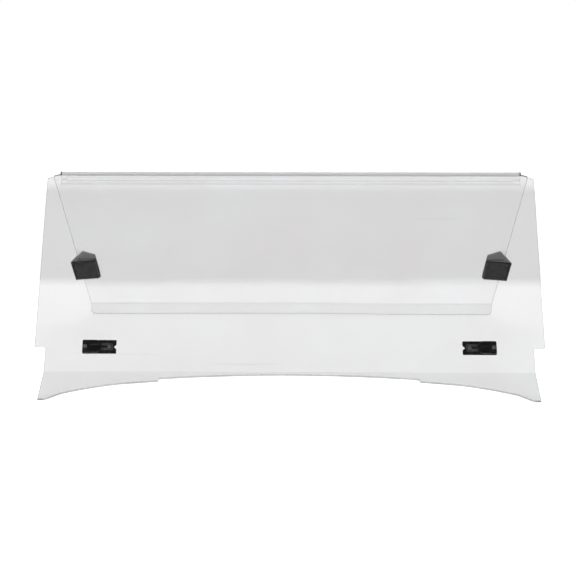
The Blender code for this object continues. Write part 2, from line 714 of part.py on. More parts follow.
def make_latch(ridge, side, tag):
    bore = bmesh.new()
    for along in (SLOT_SCREW_X, END_SCREW_X):
        lathe(bore, ((HOLE_R, -4 * THICK), (HOLE_R, 2 * COVER_TOP)), (side * along, 0.0, 0.0))
    tool = cutter("latch_bores_" + tag, bore, ridge, latch_frame(side * LATCH_X))
    make_latch_base(ridge, side, tag, tool)
    make_latch_cover(ridge, side, tag, tool)
    make_latch_slider(ridge, side, tag)
    bm = bmesh.new()
    ends = (SLOT_SCREW_X - BACK_ENDS[0], END_SCREW_X + BACK_ENDS[1])
    prism(bm, mirrored(slot_outline(ends[0], ends[1], BACK_HALF, 4), side),
          -(THICK + GAP + BACK_THICK), -(THICK + GAP), flat_put)
    plate = add_object("latch_backplate_" + tag, bm, "dark_steel", ridge, latch_frame(side * LATCH_X))
    cut(plate, tool)
    behind = -(THICK + 2 * GAP + BACK_THICK)
    slot_head = 4 * GAP + BASE_THICK + SLIDER_THICK
    place = latch_frame(side * LATCH_X)
    for number, (along, under) in enumerate(((SLOT_SCREW_X, slot_head), (END_SCREW_X, COVER_TOP + GAP)), 1):
        bm = bmesh.new()
        lathe(bm, screw_profile(behind - NUT_THICK - SHANK_SPARE, under), (side * along, 0.0, 0.0))
        add_object(f"latch_screw_{tag}{number}", bm, "dark_steel", ridge, place, smooth=True)
        hexagon = []
        for k in range(12):
            turn = pi * k / 6
            reach = NUT_R if k % 2 == 0 else NUT_R * cos(pi / 6)
            hexagon.append((side * along + reach * cos(turn), reach * sin(turn)))
        bm = bmesh.new()
        ring_prism(bm, hexagon, circle(SHANK_R + GAP, 12, (side * along, 0.0)),
                   behind - NUT_THICK, behind, flat_put)
        add_object(f"latch_nut_{tag}{number}", bm, "steel", ridge, place)


def build():
    clear_scene()
    ridge = bpy.data.objects.new("ridge_axis", None)
    ridge.location = (0.0, AXIS_Y, AXIS_Z)
    bpy.context.scene.collection.objects.link(ridge)
    make_front_sheet(ridge)
    make_rear_sheet(ridge)
    make_hinge(ridge)
    for side, tag in ((-1, "L"), (1, "R")):
        make_bracket_body(ridge, side, tag)
        make_bracket_grip(ridge, side, tag)
        make_bracket_fixings(ridge, side, tag)
        make_latch(ridge, side, tag)


build()
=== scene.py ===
"""Looks of the folding sneeze guard: clear bent sheets, ridge hinge, edge brackets and slide latches.

Lengths are metres in the frame's own axes: +X along the ridge, +Y the rear, +Z up.
"""

import json
from math import asin, cos, pi, radians, sin, sqrt, tan

import bmesh
import bpy
from mathutils import Matrix, Vector


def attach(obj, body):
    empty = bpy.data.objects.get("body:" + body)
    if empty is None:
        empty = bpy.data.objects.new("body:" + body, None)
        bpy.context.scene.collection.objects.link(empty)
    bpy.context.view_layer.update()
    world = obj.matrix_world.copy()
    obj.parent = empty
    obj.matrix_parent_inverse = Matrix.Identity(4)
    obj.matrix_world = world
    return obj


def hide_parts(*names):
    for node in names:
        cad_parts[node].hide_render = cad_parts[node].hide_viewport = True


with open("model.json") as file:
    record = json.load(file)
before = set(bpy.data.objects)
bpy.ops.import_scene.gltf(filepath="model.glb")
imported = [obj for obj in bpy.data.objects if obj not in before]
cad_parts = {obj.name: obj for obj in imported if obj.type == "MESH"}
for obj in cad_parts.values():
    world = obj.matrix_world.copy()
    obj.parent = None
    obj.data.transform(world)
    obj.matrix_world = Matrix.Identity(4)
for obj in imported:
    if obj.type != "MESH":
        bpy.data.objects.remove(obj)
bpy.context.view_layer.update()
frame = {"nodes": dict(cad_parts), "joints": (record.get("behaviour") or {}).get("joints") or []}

MM = 0.001
GAP = 0.3 * MM
SIDES = ((-1, "L"), (1, "R"))
HINGE = next(joint for joint in frame["joints"] if joint["name"] == "ridge_hinge")
AXIS_Y, AXIS_Z = HINGE["pos_m"][1:]

# Clear sheets, measured down each slope from the hinge axis.
FRONT_LEAN = radians(30.8)
REAR_LEAN = radians(38.9)
THICK = 6.0 * MM
INNER_OFF = 2.7 * MM
OUTER_OFF = INNER_OFF + THICK
MID_OFF = INNER_OFF + THICK / 2
BEND_R = 10.0 * MM
BEND_STEPS = 14
EDGE_BREAK = 1.0 * MM
TOP_U = 8.0 * MM
CHAMFER_X = 25.0 * MM
CHAMFER_U = 8.0 * MM
FRONT_HALF = 600.0 * MM
NECK_HALF = 574.0 * MM
NOTCH_U = 441.9 * MM
FOLD_U = 502.3 * MM
SKIRT_DROP = radians(31.0)
REAR_HALF = 591.5 * MM
LIP_U = 568.9 * MM
LIP_CORNER = 10.0 * MM
TIP_FLAT = 12.0 * MM
SHEET_HOLE_R = 2.8 * MM

# Skirt depth: a shallow arch, a step, a flare and a foot at each end.
ARCH_MIDDLE = 5.5 * MM
ARCH_STEP_X = 303.0 * MM
ARCH_STEP = 6.5 * MM
ARCH_FALL = 13.0 * MM
FLARE_FROM = 390.0 * MM
FLARE_RUN = 132.0 * MM
FLARE_FALL = 10.9 * MM
FOOT_FROM = 522.0 * MM
FOOT_RUN = 40.0 * MM
FOOT_FALL = 8.2 * MM

# Ridge hinge.
BARREL_R = 5.0 * MM
BORE_R = 3.3 * MM
BEAD_R = 3.0 * MM
LEAF_IN = 0.4 * MM
LEAF_OUT = 2.4 * MM
LEAF_END = 34.0 * MM
HINGE_HALF = 567.0 * MM
BEAD_HALF = 560.0 * MM
MOUTH_FRONT = radians(-24.0)
PLUG_R = 5.3 * MM
PLUG_THICK = 3.0 * MM
PLUG_ROUND = 1.2 * MM
SPIGOT_LONG = 6.0 * MM
HINGE_STEPS = 40
LEAF_END_BREAK = 0.4 * MM
GROOVE_PLACES = (6.0 * MM, 18.0 * MM)
GROOVE_SINK = 0.15 * MM
# A glue groove's section: distance down the leaf in mm, and share of its depth.
GROOVE_SECTION = ((0.0, 0.0), (-0.5, 1.0), (-1.5, 1.0), (-2.0, 0.0))

# Edge brackets.
BRACKET_TOP = 197.9 * MM
BRACKET_BOTTOM = 134.0 * MM
BRACKET_INNER = 542.3 * MM
BRACKET_WAIST = 558.0 * MM
CHEEK_INNER = REAR_HALF + 0.8 * MM
CHEEK_OUTER = 604.7 * MM
CHEEK_TIP = 3.5 * MM
PAD_THICK = 1.0 * MM
CHEEK_FORWARD = 45.0 * MM
BODY_DEEP = 62.7 * MM
CHEEK_BACK = 113.0 * MM
CLAMP_INSET = 1.0 * MM
CLAMP_LOW = (26.0 * MM, 43.5 * MM)
CLAMP_HIGH = (20.0 * MM, 37.1 * MM)
CLAMP_CLEAR = 0.6 * MM
CHEEK_SCREW_HEIGHTS = (149.0 * MM, 182.0 * MM)
CHEEK_SCREW_FORWARD = 22.0 * MM
CHEEK_SCREW_END = 586.0 * MM
CHEEK_SINK = 3.2 * MM
CHEEK_SINK_R = 5.1 * MM
INSERT_R = 3.2 * MM
INSERT_HOLE_FROM = 584.0 * MM
GROOVE_FROM = 1.6 * MM
GROOVE_WIDE = 2.6 * MM
GROOVE_DEEP = 2.4 * MM
PANEL_MARGIN = 7.0 * MM
PANEL_DEEP = 0.8 * MM

# Slide latches, in a frame on the front sheet's outer face.
LATCH_X = 446.25 * MM
LATCH_U = 442.25 * MM
LATCH_LONG = 79.5 * MM
LATCH_HIGH = 32.5 * MM
BASE_THICK = 2.5 * MM
NOTCH_DEEP = 6.0 * MM
NOTCH_HALF = 5.5 * MM
COVER_OUT = 38.2 * MM
COVER_HALF = 14.75 * MM
COVER_CENTRE = 8.0 * MM
COVER_TOP = 12.0 * MM
CHANNEL_FROM = -20.0 * MM
CHANNEL_END = 27.0 * MM
POCKET_FROM = 2.0 * MM
POCKET_END = 24.0 * MM
POCKET_HALF = 3.0 * MM
POCKET_DEEP = 2.0 * MM
DISH_INSET = 2.6 * MM
DISH_END = 22.0 * MM
DISH_DEEP = 0.9 * MM
SLIDER_HALF = 8.5 * MM
SLIDER_TIP = -32.0 * MM
SLIDER_TAIL = 12.0 * MM
SLIDER_THICK = 3.0 * MM
SLIDER_CORNER = 2.5 * MM
TRAVEL = 14.0 * MM
GRIP_FIRST = 1.2
GRIP_STEP = 1.3
GRIP_WIDE = 0.6 * MM
GRIP_DEEP = 0.4 * MM
GRIP_NEAR = 3.6 * MM
GRIP_FAR = 6.5 * MM
SLOT_SCREW_X = -24.0 * MM
END_SCREW_X = 31.5 * MM
BACK_THICK = 1.5 * MM
BACK_HALF = 10.0 * MM
NUT_THICK = 3.2 * MM
NUT_R = 4.0 * MM

# Screws.
SHANK_R = 2.0 * MM
HOLE_R = 2.3 * MM
HEAD_R = 4.5 * MM
HEAD_HIGH = 2.6 * MM
HEAD_BREAK = 0.2 * MM
CROWN_WIDE = 2.6 * MM
CROWN_HIGH = 1.7 * MM
PITCH = 0.7 * MM
THREAD_DEEP = 0.35 * MM
CROSS_LONG = 2.2 * MM
CROSS_HALF = 0.45 * MM
CROSS_DEEP = 1.3 * MM
CROSS_TAPER = 0.55
NUT_BREAK = 0.35 * MM
NUT_MOUTH = 0.6 * MM
NUT_SINK = 0.4 * MM
ROUND = 40

# Floor: glow of the paper round the object, behind it and far off, and where each part ends.
POOL_LEVEL = 1.03
PAPER_LEVEL = 0.70
FAR_LEVEL = 1.0
POOL_END = 0.66
POOL_FADE = 0.12
PAPER_END = 2.55
PAPER_FADE = 0.3
FLOOR_HALF = 30.0
FLOOR_BELOW = 0.4 * MM

# Surround: degrees up from the front's horizon (90 is straight up), and brightness there.
DARK_LEVEL = 0.08
DIM_LEVEL = 0.55
SURROUND = ((28.0, 1.0), (36.0, DARK_LEVEL), (58.0, DARK_LEVEL),
            (68.0, DIM_LEVEL), (108.0, DIM_LEVEL), (118.0, 1.0))

# Camera: place, degrees down and to the left, and focal length in mm.
CAMERA_PLACE = (0.0216, -2.418, 0.826)
CAMERA_DOWN = 15.1
CAMERA_LEFT = 0.64
CAMERA_LENS = 60.75


# ---------------------------------------------------------------- materials

class Paint:
    """A Principled material, with a short call for each node it needs."""

    def __init__(self, name, **values):
        self.material = bpy.data.materials.new(name)
        self.material.use_nodes = True
        self.tree = self.material.node_tree
        self.shader = self.tree.nodes["Principled BSDF"]
        for socket, value in values.items():
            self.shader.inputs[socket.replace("_", " ")].default_value = value
        self.place = self.node("ShaderNodeTexCoord").outputs["Object"]

    def node(self, kind, settings=None, **links):
        made = self.tree.nodes.new(kind)
        for key, value in (settings or {}).items():
            setattr(made, key, value)
        for key, value in links.items():
            self.feed(made.inputs[key.replace("_", " ")], value)
        return made

    def feed(self, socket, value):
        if isinstance(value, bpy.types.NodeSocket):
            self.tree.links.new(value, socket)
        else:
            socket.default_value = value

    def math(self, operation, first, second=0.0, clamp=False):
        made = self.tree.nodes.new("ShaderNodeMath")
        made.operation = operation
        made.use_clamp = clamp
        self.feed(made.inputs[0], first)
        self.feed(made.inputs[1], second)
        return made.outputs[0]

    def mapped(self, stretch, turn=(0.0, 0.0, 0.0)):
        return self.node("ShaderNodeMapping", Vector=self.place, Scale=stretch, Rotation=turn).outputs[0]

    def noise(self, scale, detail=3.0, rough=0.55, stretch=(1.0, 1.0, 1.0), turn=(0.0, 0.0, 0.0)):
        made = self.node("ShaderNodeTexNoise", Vector=self.mapped(stretch, turn), Scale=scale,
                         Detail=detail, Roughness=rough)
        return made.outputs["Fac"]

    def span(self, value, low, high, to_low=0.0, to_high=1.0):
        made = self.node("ShaderNodeMapRange", Value=value)
        made.inputs["From Min"].default_value = low
        made.inputs["From Max"].default_value = high
        made.inputs["To Min"].default_value = to_low
        made.inputs["To Max"].default_value = to_high
        return made.outputs[0]

    def blend(self, share, first, second):
        made = self.node("ShaderNodeMix", {"data_type": "RGBA"})
        self.feed(made.inputs[0], share)
        self.feed(made.inputs[6], first)
        self.feed(made.inputs[7], second)
        return made.outputs[2]

    def scratches(self, turns, scale=60.0, long=0.04, keep=0.70):
        """Hairlines running several ways: thin bright ridges of a strongly stretched noise."""
        total = 0.0
        for k, turn in enumerate(turns):
            fine = self.noise(scale * (1.0 + 0.3 * k), 2.0, 0.5, (long, 1.0, 1.0), turn)
            line = self.span(fine, keep, keep + 0.04)
            total = line if k == 0 else self.math("MAXIMUM", total, line)
        return total

    def wear(self, low=0.515, high=0.56):
        """Rubbed stretches of the outer edges."""
        point = self.node("ShaderNodeNewGeometry").outputs["Pointiness"]
        edge = self.span(point, low, high)
        patch = self.span(self.noise(130.0, 4.0), 0.42, 0.62)
        return self.math("MULTIPLY", edge, patch, clamp=True)

    def bump(self, height, strength, distance, normal=None):
        made = self.node("ShaderNodeBump", Height=height, Strength=strength, Distance=distance)
        if normal is not None:
            self.tree.links.new(normal, made.inputs["Normal"])
        self.tree.links.new(made.outputs[0], self.shader.inputs["Normal"])
        return made.outputs[0]

    def set(self, socket, value):
        self.feed(self.shader.inputs[socket], value)


def grey(level, red=0.0, green=0.0, blue=0.0):
    return (level + red, level + green, level + blue, 1.0)


def clear_sheet(name, level):
    """Clear sheet that lets through about level, a painted shade for what is seen through it, with faint
    clouds, hairlines and dust.
    """
    paint = Paint(name, IOR=1.49, Transmission_Weight=1.0)
    cloud = paint.span(paint.noise(4.5, 3.0), 0.35, 0.65)
    tint = paint.blend(cloud, grey(level - 0.007, 0.004, -0.004, -0.002),
                       grey(level + 0.007, -0.003, 0.003, 0.006))
    hair = paint.scratches([(0.0, 0.0, radians(a)) for a in (8, 67, 131)], 45.0, 0.03, 0.71)
    dust = paint.span(paint.noise(420.0, 2.0), 0.66, 0.74)
    marks = paint.math("MAXIMUM", hair, paint.math("MULTIPLY", dust, 0.6))
    paint.set("Base Color", paint.blend(paint.math("MULTIPLY", marks, 0.25), tint, grey(level - 0.12)))
    haze = paint.span(paint.noise(9.0, 4.0), 0.35, 0.7, 0.010, 0.045)
    paint.set("Roughness", paint.math("ADD", haze, paint.math("MULTIPLY", marks, 0.10)))
    ripple = paint.bump(paint.noise(14.0, 1.0), 0.06, 0.002)
    paint.bump(hair, 0.05, 0.0002, ripple)
    return paint.material


def sheet_bend(name, level):
    """Sheet where it was heated and bent: a little darker and hazier, with faint draw lines; its level is a
    painted shade, set per sheet.
    """
    paint = Paint(name, IOR=1.49, Transmission_Weight=1.0)
    lines = paint.noise(600.0, 2.0, 0.5, (0.01, 1.0, 1.0))
    drawn = paint.span(lines, 0.35, 0.65)
    paint.set("Base Color", paint.blend(drawn, grey(level - 0.04), grey(level + 0.04)))
    paint.set("Roughness", paint.span(paint.noise(40.0, 3.0), 0.3, 0.7, 0.03, 0.10))
    paint.bump(lines, 0.10, 0.0002)
    return paint.material


def sheet_edge(name, level):
    """Sawn and flame-polished rim, clouded and a little green; its level is a painted shade, set per sheet.
    """
    paint = Paint(name, IOR=1.49, Transmission_Weight=0.35)
    cloud = paint.span(paint.noise(35.0, 3.0), 0.3, 0.7)
    paint.set("Base Color", paint.blend(cloud, grey(level - 0.08, 0.0, 0.01, 0.012),
                                        grey(level + 0.08, 0.0, 0.006, 0.008)))
    saw = paint.noise(900.0, 2.0, 0.6, (1.0, 0.15, 0.15))
    paint.set("Roughness", paint.span(saw, 0.3, 0.7, 0.16, 0.38))
    paint.bump(saw, 0.25, 0.0002)
    return paint.material


def clear_hinge(name, clear):
    """Extruded soft plastic: clear is the share it lets straight through, the rest is milky."""
    paint = Paint(name, IOR=1.12, Transmission_Weight=clear)
    cloud = paint.span(paint.noise(12.0, 3.0), 0.3, 0.7)
    paint.set("Base Color", paint.blend(cloud, grey(0.975), grey(0.99, -0.004, 0.0, 0.004)))
    drawn = paint.noise(700.0, 3.0, 0.6, (0.004, 1.0, 1.0))
    paint.set("Roughness", paint.span(drawn, 0.3, 0.7, 0.02, 0.08))
    paint.bump(drawn, 0.08, 0.0001)
    return paint.material


def moulded(name, dark, light, rough, grain=1300.0, rub=0.5, dust_and_top_light_share=0.0):
    """Black injection-moulded plastic: fine grain, flow clouds, hairlines, rubbed edges, and pale dust on
    upward faces that doubles as a painted highlight from the light above.
    """
    paint = Paint(name, IOR=1.52, Specular_IOR_Level=0.15)
    cloud = paint.span(paint.noise(55.0, 4.0), 0.3, 0.7)
    body = paint.blend(cloud, dark, light)
    turns = [(radians(20), radians(35), radians(a)) for a in (12, 80, 140)]
    hair = paint.scratches(turns, 260.0, 0.05, 0.69)
    rubbed = paint.wear()
    marks = paint.math("MAXIMUM", paint.math("MULTIPLY", rubbed, rub), paint.math("MULTIPLY", hair, 0.25))
    worn = paint.blend(marks, body, grey(0.16))
    # Upward faces are paled towards a warm grey: dust, and a painted highlight for the light falling on the
    # tops.
    facing = paint.node("ShaderNodeTexCoord").outputs["Normal"]
    upward = paint.span(paint.node("ShaderNodeSeparateXYZ", Vector=facing).outputs["Z"], 0.55, 0.98)
    pale_speckle = paint.span(paint.noise(90.0, 5.0, 0.65), 0.25, 0.65, 0.75, 1.0)
    dust_and_top_light = paint.math("MULTIPLY", paint.math("MULTIPLY", upward, pale_speckle), dust_and_top_light_share, clamp=True)
    paint.set("Base Color", paint.blend(dust_and_top_light, worn, grey(0.20, 0.008, 0.0, -0.004)))
    texture = paint.noise(grain, 3.0, 0.6)
    base = paint.span(texture, 0.3, 0.7, rough - 0.07, rough + 0.09)
    paint.set("Roughness", paint.math("SUBTRACT", base, paint.math("MULTIPLY", rubbed, 0.12)))
    skin = paint.bump(texture, 0.35, 0.00012)
    paint.bump(hair, 0.2, 0.0001, skin)
    return paint.material


def painted_screw():
    """Blackened steel, rubbed bright at the edges of its recess and head."""
    paint = Paint("painted_screw", IOR=1.6)
    cloud = paint.span(paint.noise(300.0, 4.0), 0.3, 0.7)
    body = paint.blend(cloud, grey(0.06), grey(0.09))
    paint.set("Base Color", paint.blend(paint.math("MULTIPLY", paint.wear(), 0.6), body, grey(0.34)))
    texture = paint.noise(1500.0, 3.0)
    paint.set("Roughness", paint.span(texture, 0.3, 0.7, 0.30, 0.46))
    paint.bump(texture, 0.2, 0.00006)
    return paint.material


def rubber_sheet():
    paint = Paint("rubber_pad", IOR=1.45)
    cloud = paint.span(paint.noise(160.0, 3.0), 0.3, 0.7)
    paint.set("Base Color", paint.blend(cloud, grey(0.016), grey(0.030)))
    texture = paint.noise(2200.0, 3.0)
    paint.set("Roughness", paint.span(texture, 0.3, 0.7, 0.72, 0.95))
    paint.bump(texture, 0.4, 0.0001)
    return paint.material


def metal(name, dark, light, rough, turned=900.0, worn=None):
    """Turned or rolled metal: fine tool lines, roughness patches and, where asked, worn edges."""
    paint = Paint(name, Metallic=1.0)
    cloud = paint.span(paint.noise(220.0, 4.0), 0.3, 0.7)
    body = paint.blend(cloud, dark, light)
    hair = paint.scratches([(0.0, radians(15), radians(a)) for a in (25, 95)], 420.0, 0.06, 0.68)
    if worn is not None:
        body = paint.blend(paint.math("MULTIPLY", paint.wear(), 0.8), body, worn)
    paint.set("Base Color", paint.blend(paint.math("MULTIPLY", hair, 0.4), body, light))
    lines = paint.noise(turned, 2.0, 0.5, (1.0, 1.0, 0.08))
    base = paint.span(lines, 0.3, 0.7, rough - 0.08, rough + 0.1)
    paint.set("Roughness", paint.math("ADD", base, paint.math("MULTIPLY", hair, 0.15)))
    paint.bump(lines, 0.2, 0.00008)
    return paint.material


LOOKS = {
    # The sheets' levels are painted shade: one clear material in darker and lighter copies per part (front,
    # rear, skirt, lip, bends, rims) standing in for the grey backdrop and shade seen through each.
    "clear_front": clear_sheet("clear_sheet_front", 0.70),
    "clear_rear": clear_sheet("clear_sheet_rear", 0.955),
    "skirt": clear_sheet("clear_sheet_skirt", 0.62),
    "lip": clear_sheet("clear_sheet_lip", 0.86),
    "bend_front": sheet_bend("sheet_bend_front", 0.64),
    "bend_rear": sheet_bend("sheet_bend_rear", 0.84),
    "edge_front": sheet_edge("sheet_edge_front", 0.60),
    "edge_rear": sheet_edge("sheet_edge_rear", 0.42),
    "leaf": clear_hinge("hinge_leaf", 1.0),
    "barrel": clear_hinge("hinge_barrel", 0.35),
    "plug": moulded("dark_plug", grey(0.06), grey(0.085), 0.42, 1800.0),
    # The bracket's tops are paled: dust and a painted highlight from above.
    "bracket": moulded("bracket_plastic", grey(0.011, 0.001, 0.0, 0.0), grey(0.018, 0.001, 0.0, 0.0), 0.50,
                       rub=0.22, dust_and_top_light_share=0.55),
    "latch": moulded("latch_plastic", grey(0.005), grey(0.009), 0.34, 1700.0, 0.35),
    "tongue": moulded("tongue_plastic", grey(0.040), grey(0.058), 0.38, 1500.0, 0.35),
    "rubber": rubber_sheet(),
    "screw": painted_screw(),
    "steel": metal("bright_steel", grey(0.50), grey(0.66), 0.30),
    "dark_steel": metal("blackened_steel", grey(0.030), grey(0.055), 0.42, 900.0, grey(0.32)),
    "brass": metal("turned_brass", (0.62, 0.44, 0.17, 1.0), (0.80, 0.61, 0.28, 1.0), 0.30),
}


# ---------------------------------------------------------------- mesh tools

def new_object(name, bm, looks, matrix=None):
    bmesh.ops.recalc_face_normals(bm, faces=bm.faces)
    mesh = bpy.data.meshes.new(name)
    bm.to_mesh(mesh)
    bm.free()
    if matrix is not None:
        mesh.transform(matrix)
    for look in looks:
        mesh.materials.append(LOOKS[look])
    made = bpy.data.objects.new(name, mesh)
    bpy.context.scene.collection.objects.link(made)
    return made


def applied(obj):
    """The object with its modifiers applied to its mesh."""
    bpy.context.view_layer.update()
    graph = bpy.context.evaluated_depsgraph_get()
    mesh = bpy.data.meshes.new_from_object(obj.evaluated_get(graph))
    mesh.name = obj.name
    obj.modifiers.clear()
    obj.data = mesh
    return obj


def settle(obj, angle=radians(32.0)):
    """Shades the round stretches smooth."""
    obj.data.shade_smooth()
    obj.data.set_sharp_from_angle(angle=angle)
    return obj


def cut_away(obj, bm, matrix=None):
    """Subtracts a mesh and removes it again."""
    tool = new_object(obj.name + "_tool", bm, (), matrix)
    modifier = obj.modifiers.new("cut", "BOOLEAN")
    modifier.operation = "DIFFERENCE"
    modifier.solver = "EXACT"
    modifier.object = tool
    applied(obj)
    mesh = tool.data
    bpy.data.objects.remove(tool)
    bpy.data.meshes.remove(mesh)


def bevel(obj, width, segments, angle, look=-1):
    modifier = obj.modifiers.new("soften", "BEVEL")
    modifier.width = width
    modifier.segments = segments
    modifier.limit_method = "ANGLE"
    modifier.angle_limit = angle
    modifier.use_clamp_overlap = True
    modifier.material = look
    return modifier


def soften(obj, width, segments=3, angle=radians(35.0)):
    """Rounds the sharp edges and keeps the flat faces flat in the shading."""
    obj.data.shade_smooth()
    obj.data.set_sharp_from_angle(angle=angle)
    bevel(obj, width, segments, angle).harden_normals = True
    return applied(obj)


def fit(obj, body, slot, *nodes):
    """Puts the piece on its body in place of the CAD nodes it stands for."""
    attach(obj, body)
    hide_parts(*nodes)
    return obj


def prism(bm, outline, low, high):
    lower = [bm.verts.new((a, b, low)) for a, b in outline]
    upper = [bm.verts.new((a, b, high)) for a, b in outline]
    bm.faces.new(lower[::-1])
    bm.faces.new(upper)
    for i in range(len(outline)):
        j = (i + 1) % len(outline)
        bm.faces.new((lower[i], lower[j], upper[j], upper[i]))


def box(bm, low, high):
    (x0, y0, z0), (x1, y1, z1) = low, high
    prism(bm, ((x0, y0), (x1, y0), (x1, y1), (x0, y1)), z0, z1)


def lathe(bm, profile, centre=(0.0, 0.0, 0.0), steps=ROUND):
    """Turns (radius, height) points about a line along Z through centre."""
    rings = []
    for radius, height in profile:
        rings.append([bm.verts.new((centre[0] + radius * cos(2 * pi * k / steps),
                                    centre[1] + radius * sin(2 * pi * k / steps),
                                    centre[2] + height)) for k in range(steps)])
    bm.faces.new(rings[0][::-1])
    bm.faces.new(rings[-1])
    for low, high in zip(rings, rings[1:]):
        for i in range(steps):
            j = (i + 1) % steps
            bm.faces.new((low[i], low[j], high[j], high[i]))


def rounded(outline, radius, steps=4):
    """The outline with each corner turned to an arc-like curve; radius may differ per corner."""
    points = []
    count = len(outline)
    radii = radius if isinstance(radius, (list, tuple)) else [radius] * count
    for k, here in enumerate(outline):
        if radii[k] <= 0:
            points.append(here)
            continue
        corner = Vector(here)
        before = Vector(outline[k - 1]) - corner
        after = Vector(outline[(k + 1) % count]) - corner
        half = before.angle(after) / 2
        reach = min(radii[k] / tan(half), before.length / 2.01, after.length / 2.01)
        first = corner + before.normalized() * reach
        last = corner + after.normalized() * reach
        for i in range(steps + 1):
            t = i / steps
            spot = first * (1 - t) ** 2 + corner * 2 * t * (1 - t) + last * t ** 2
            points.append((spot.x, spot.y))
    return points


def mirrored(outline, side):
    return [(side * a, b) for a, b in outline]


def slot_outline(low, high, radius, steps=12):
    """Rounded slot along local X."""
    points = []
    for middle, start in ((low + radius, pi / 2), (high - radius, -pi / 2)):
        for k in range(steps + 1):
            turn = start + pi * k / steps
            points.append((middle + radius * cos(turn), radius * sin(turn)))
    return points


# ---------------------------------------------------------------- places

def slope_point(lean, side, u, off):
    """World Y, Z at u down a sheet's slope and off outward; side is -1 in front, +1 behind."""
    y = AXIS_Y + side * (u * sin(lean) + off * cos(lean))
    z = AXIS_Z - u * cos(lean) + off * sin(lean)
    return y, z


def latch_frame(side):
    y, z = slope_point(FRONT_LEAN, -1, LATCH_U, OUTER_OFF)
    return Matrix.Translation((side * LATCH_X, y, z)) @ Matrix.Rotation(pi / 2 - FRONT_LEAN, 4, "X")


def rear_frame():
    """Frame on the rear sheet's front face: local Y up the slope, Z out of the face."""
    y, z = slope_point(REAR_LEAN, 1, 0.0, INNER_OFF)
    return Matrix.Translation((0.0, y, z)) @ Matrix.Rotation(pi / 2 + REAR_LEAN, 4, "X")


def hinge_frame():
    """Frame whose Z runs along the ridge, X to the rear and Y up."""
    turn = Matrix(((0, 0, 1, 0), (1, 0, 0, 0), (0, 1, 0, 0), (0, 0, 0, 1)))
    return Matrix.Translation((0.0, AXIS_Y, AXIS_Z)) @ turn


def bracket_middle():
    height = (BRACKET_TOP + BRACKET_BOTTOM) / 2 - AXIS_Z
    return (height - INNER_OFF * sin(REAR_LEAN)) / cos(REAR_LEAN)


def seat_off():
    """Offset of the plane the bracket's body rests on, behind the pad."""
    return OUTER_OFF + 2 * GAP + PAD_THICK


def wedge_x(forward):
    """X of the cheek's tapered inner face at a distance forward of the body's front plane."""
    return CHEEK_INNER + (CHEEK_OUTER - CHEEK_TIP - CHEEK_INNER) * forward / CHEEK_FORWARD


def cheek_frames(side):
    """Frames at a bracket's screws, with local Z outward along the ridge's line."""
    places = []
    for height in CHEEK_SCREW_HEIGHTS:
        spot = (0.0, face_y(height, seat_off()) - CHEEK_SCREW_FORWARD, height)
        places.append(Matrix.Translation(spot) @ Matrix.Rotation(side * pi / 2, 4, "Y"))
    return places


def face_y(height, off):
    """World Y of the plane parallel to the rear sheet at off outward, at a height."""
    u = (AXIS_Z - height + off * sin(REAR_LEAN)) / cos(REAR_LEAN)
    return slope_point(REAR_LEAN, 1, u, off)[0]


# ---------------------------------------------------------------- sheets

class Folded:
    """Maps distance down a bent sheet to its cross-section in the world."""

    def __init__(self, side, lean, fold_u, end_angle):
        self.side = side
        self.lean = lean
        self.end = end_angle
        self.turn = end_angle - lean
        self.tangent = BEND_R * tan(abs(self.turn) / 2)
        self.start_u = fold_u - self.tangent
        self.arc = BEND_R * abs(self.turn)
        self.end_u = self.start_u + self.arc

    def spot(self, u, off):
        """World Y, Z at u along the sheet and off outward from its middle."""
        y, z = slope_point(self.lean, self.side, min(u, self.start_u), MID_OFF)
        angle = self.lean
        if u > self.start_u:
            bent = min(u, self.end_u) - self.start_u
            sign = 1 if self.turn > 0 else -1
            angle = self.lean + sign * bent / BEND_R
            chord = 2 * BEND_R * sin(bent / BEND_R / 2)
            middle = (self.lean + angle) / 2
            y += self.side * chord * sin(middle)
            z -= chord * cos(middle)
        if u > self.end_u:
            rest = u - self.end_u
            y += self.side * rest * sin(self.end)
            z -= rest * cos(self.end)
        return y + self.side * off * cos(angle), z + off * sin(angle)


def folded_sheet(bm, fold, columns, end_of, panel):
    """Solid sheet: flat panel, rim, bend and flange take the first to the fourth material."""
    steps = [fold.start_u + fold.arc * k / BEND_STEPS for k in range(BEND_STEPS + 1)]
    skins = []
    for off in (THICK / 2, -THICK / 2):
        verts = {}

        def vert(x, u):
            key = (round(x, 7), round(u, 7))
            if key not in verts:
                y, z = fold.spot(u, off)
                verts[key] = bm.verts.new((x, y, z))
            return verts[key]

        faces = [(0, [vert(x, fold.start_u) for x in columns] + [vert(x, u) for x, u in panel])]
        for left, right in zip(columns, columns[1:]):
            for low, high in zip(steps, steps[1:]):
                faces.append((2, [vert(left, low), vert(left, high), vert(right, high), vert(right, low)]))
            faces.append((3, [vert(left, fold.end_u), vert(left, end_of(left)),
                              vert(right, end_of(right)), vert(right, fold.end_u)]))
        skins.append((verts, faces))
    outer, inner = skins
    match = {outer[0][key]: inner[0][key] for key in outer[0]}
    rim = {}
    for look, face in outer[1]:
        bm.faces.new(face).material_index = look
        for a, b in zip(face, face[1:] + face[:1]):
            edge = frozenset((a, b))
            rim[edge] = None if edge in rim else (a, b)
    for look, face in inner[1]:
        bm.faces.new(face[::-1]).material_index = look
    for pair in rim.values():
        if pair is not None:
            a, b = pair
            bm.faces.new((b, a, match[a], match[b])).material_index = 1


def break_edges(sheet):
    """Narrow polished chamfer round the rim; the bend stays smooth and the panels flat."""
    bevel(sheet, EDGE_BREAK, 1, radians(45.0), 1)
    settle(applied(sheet), radians(8.0))


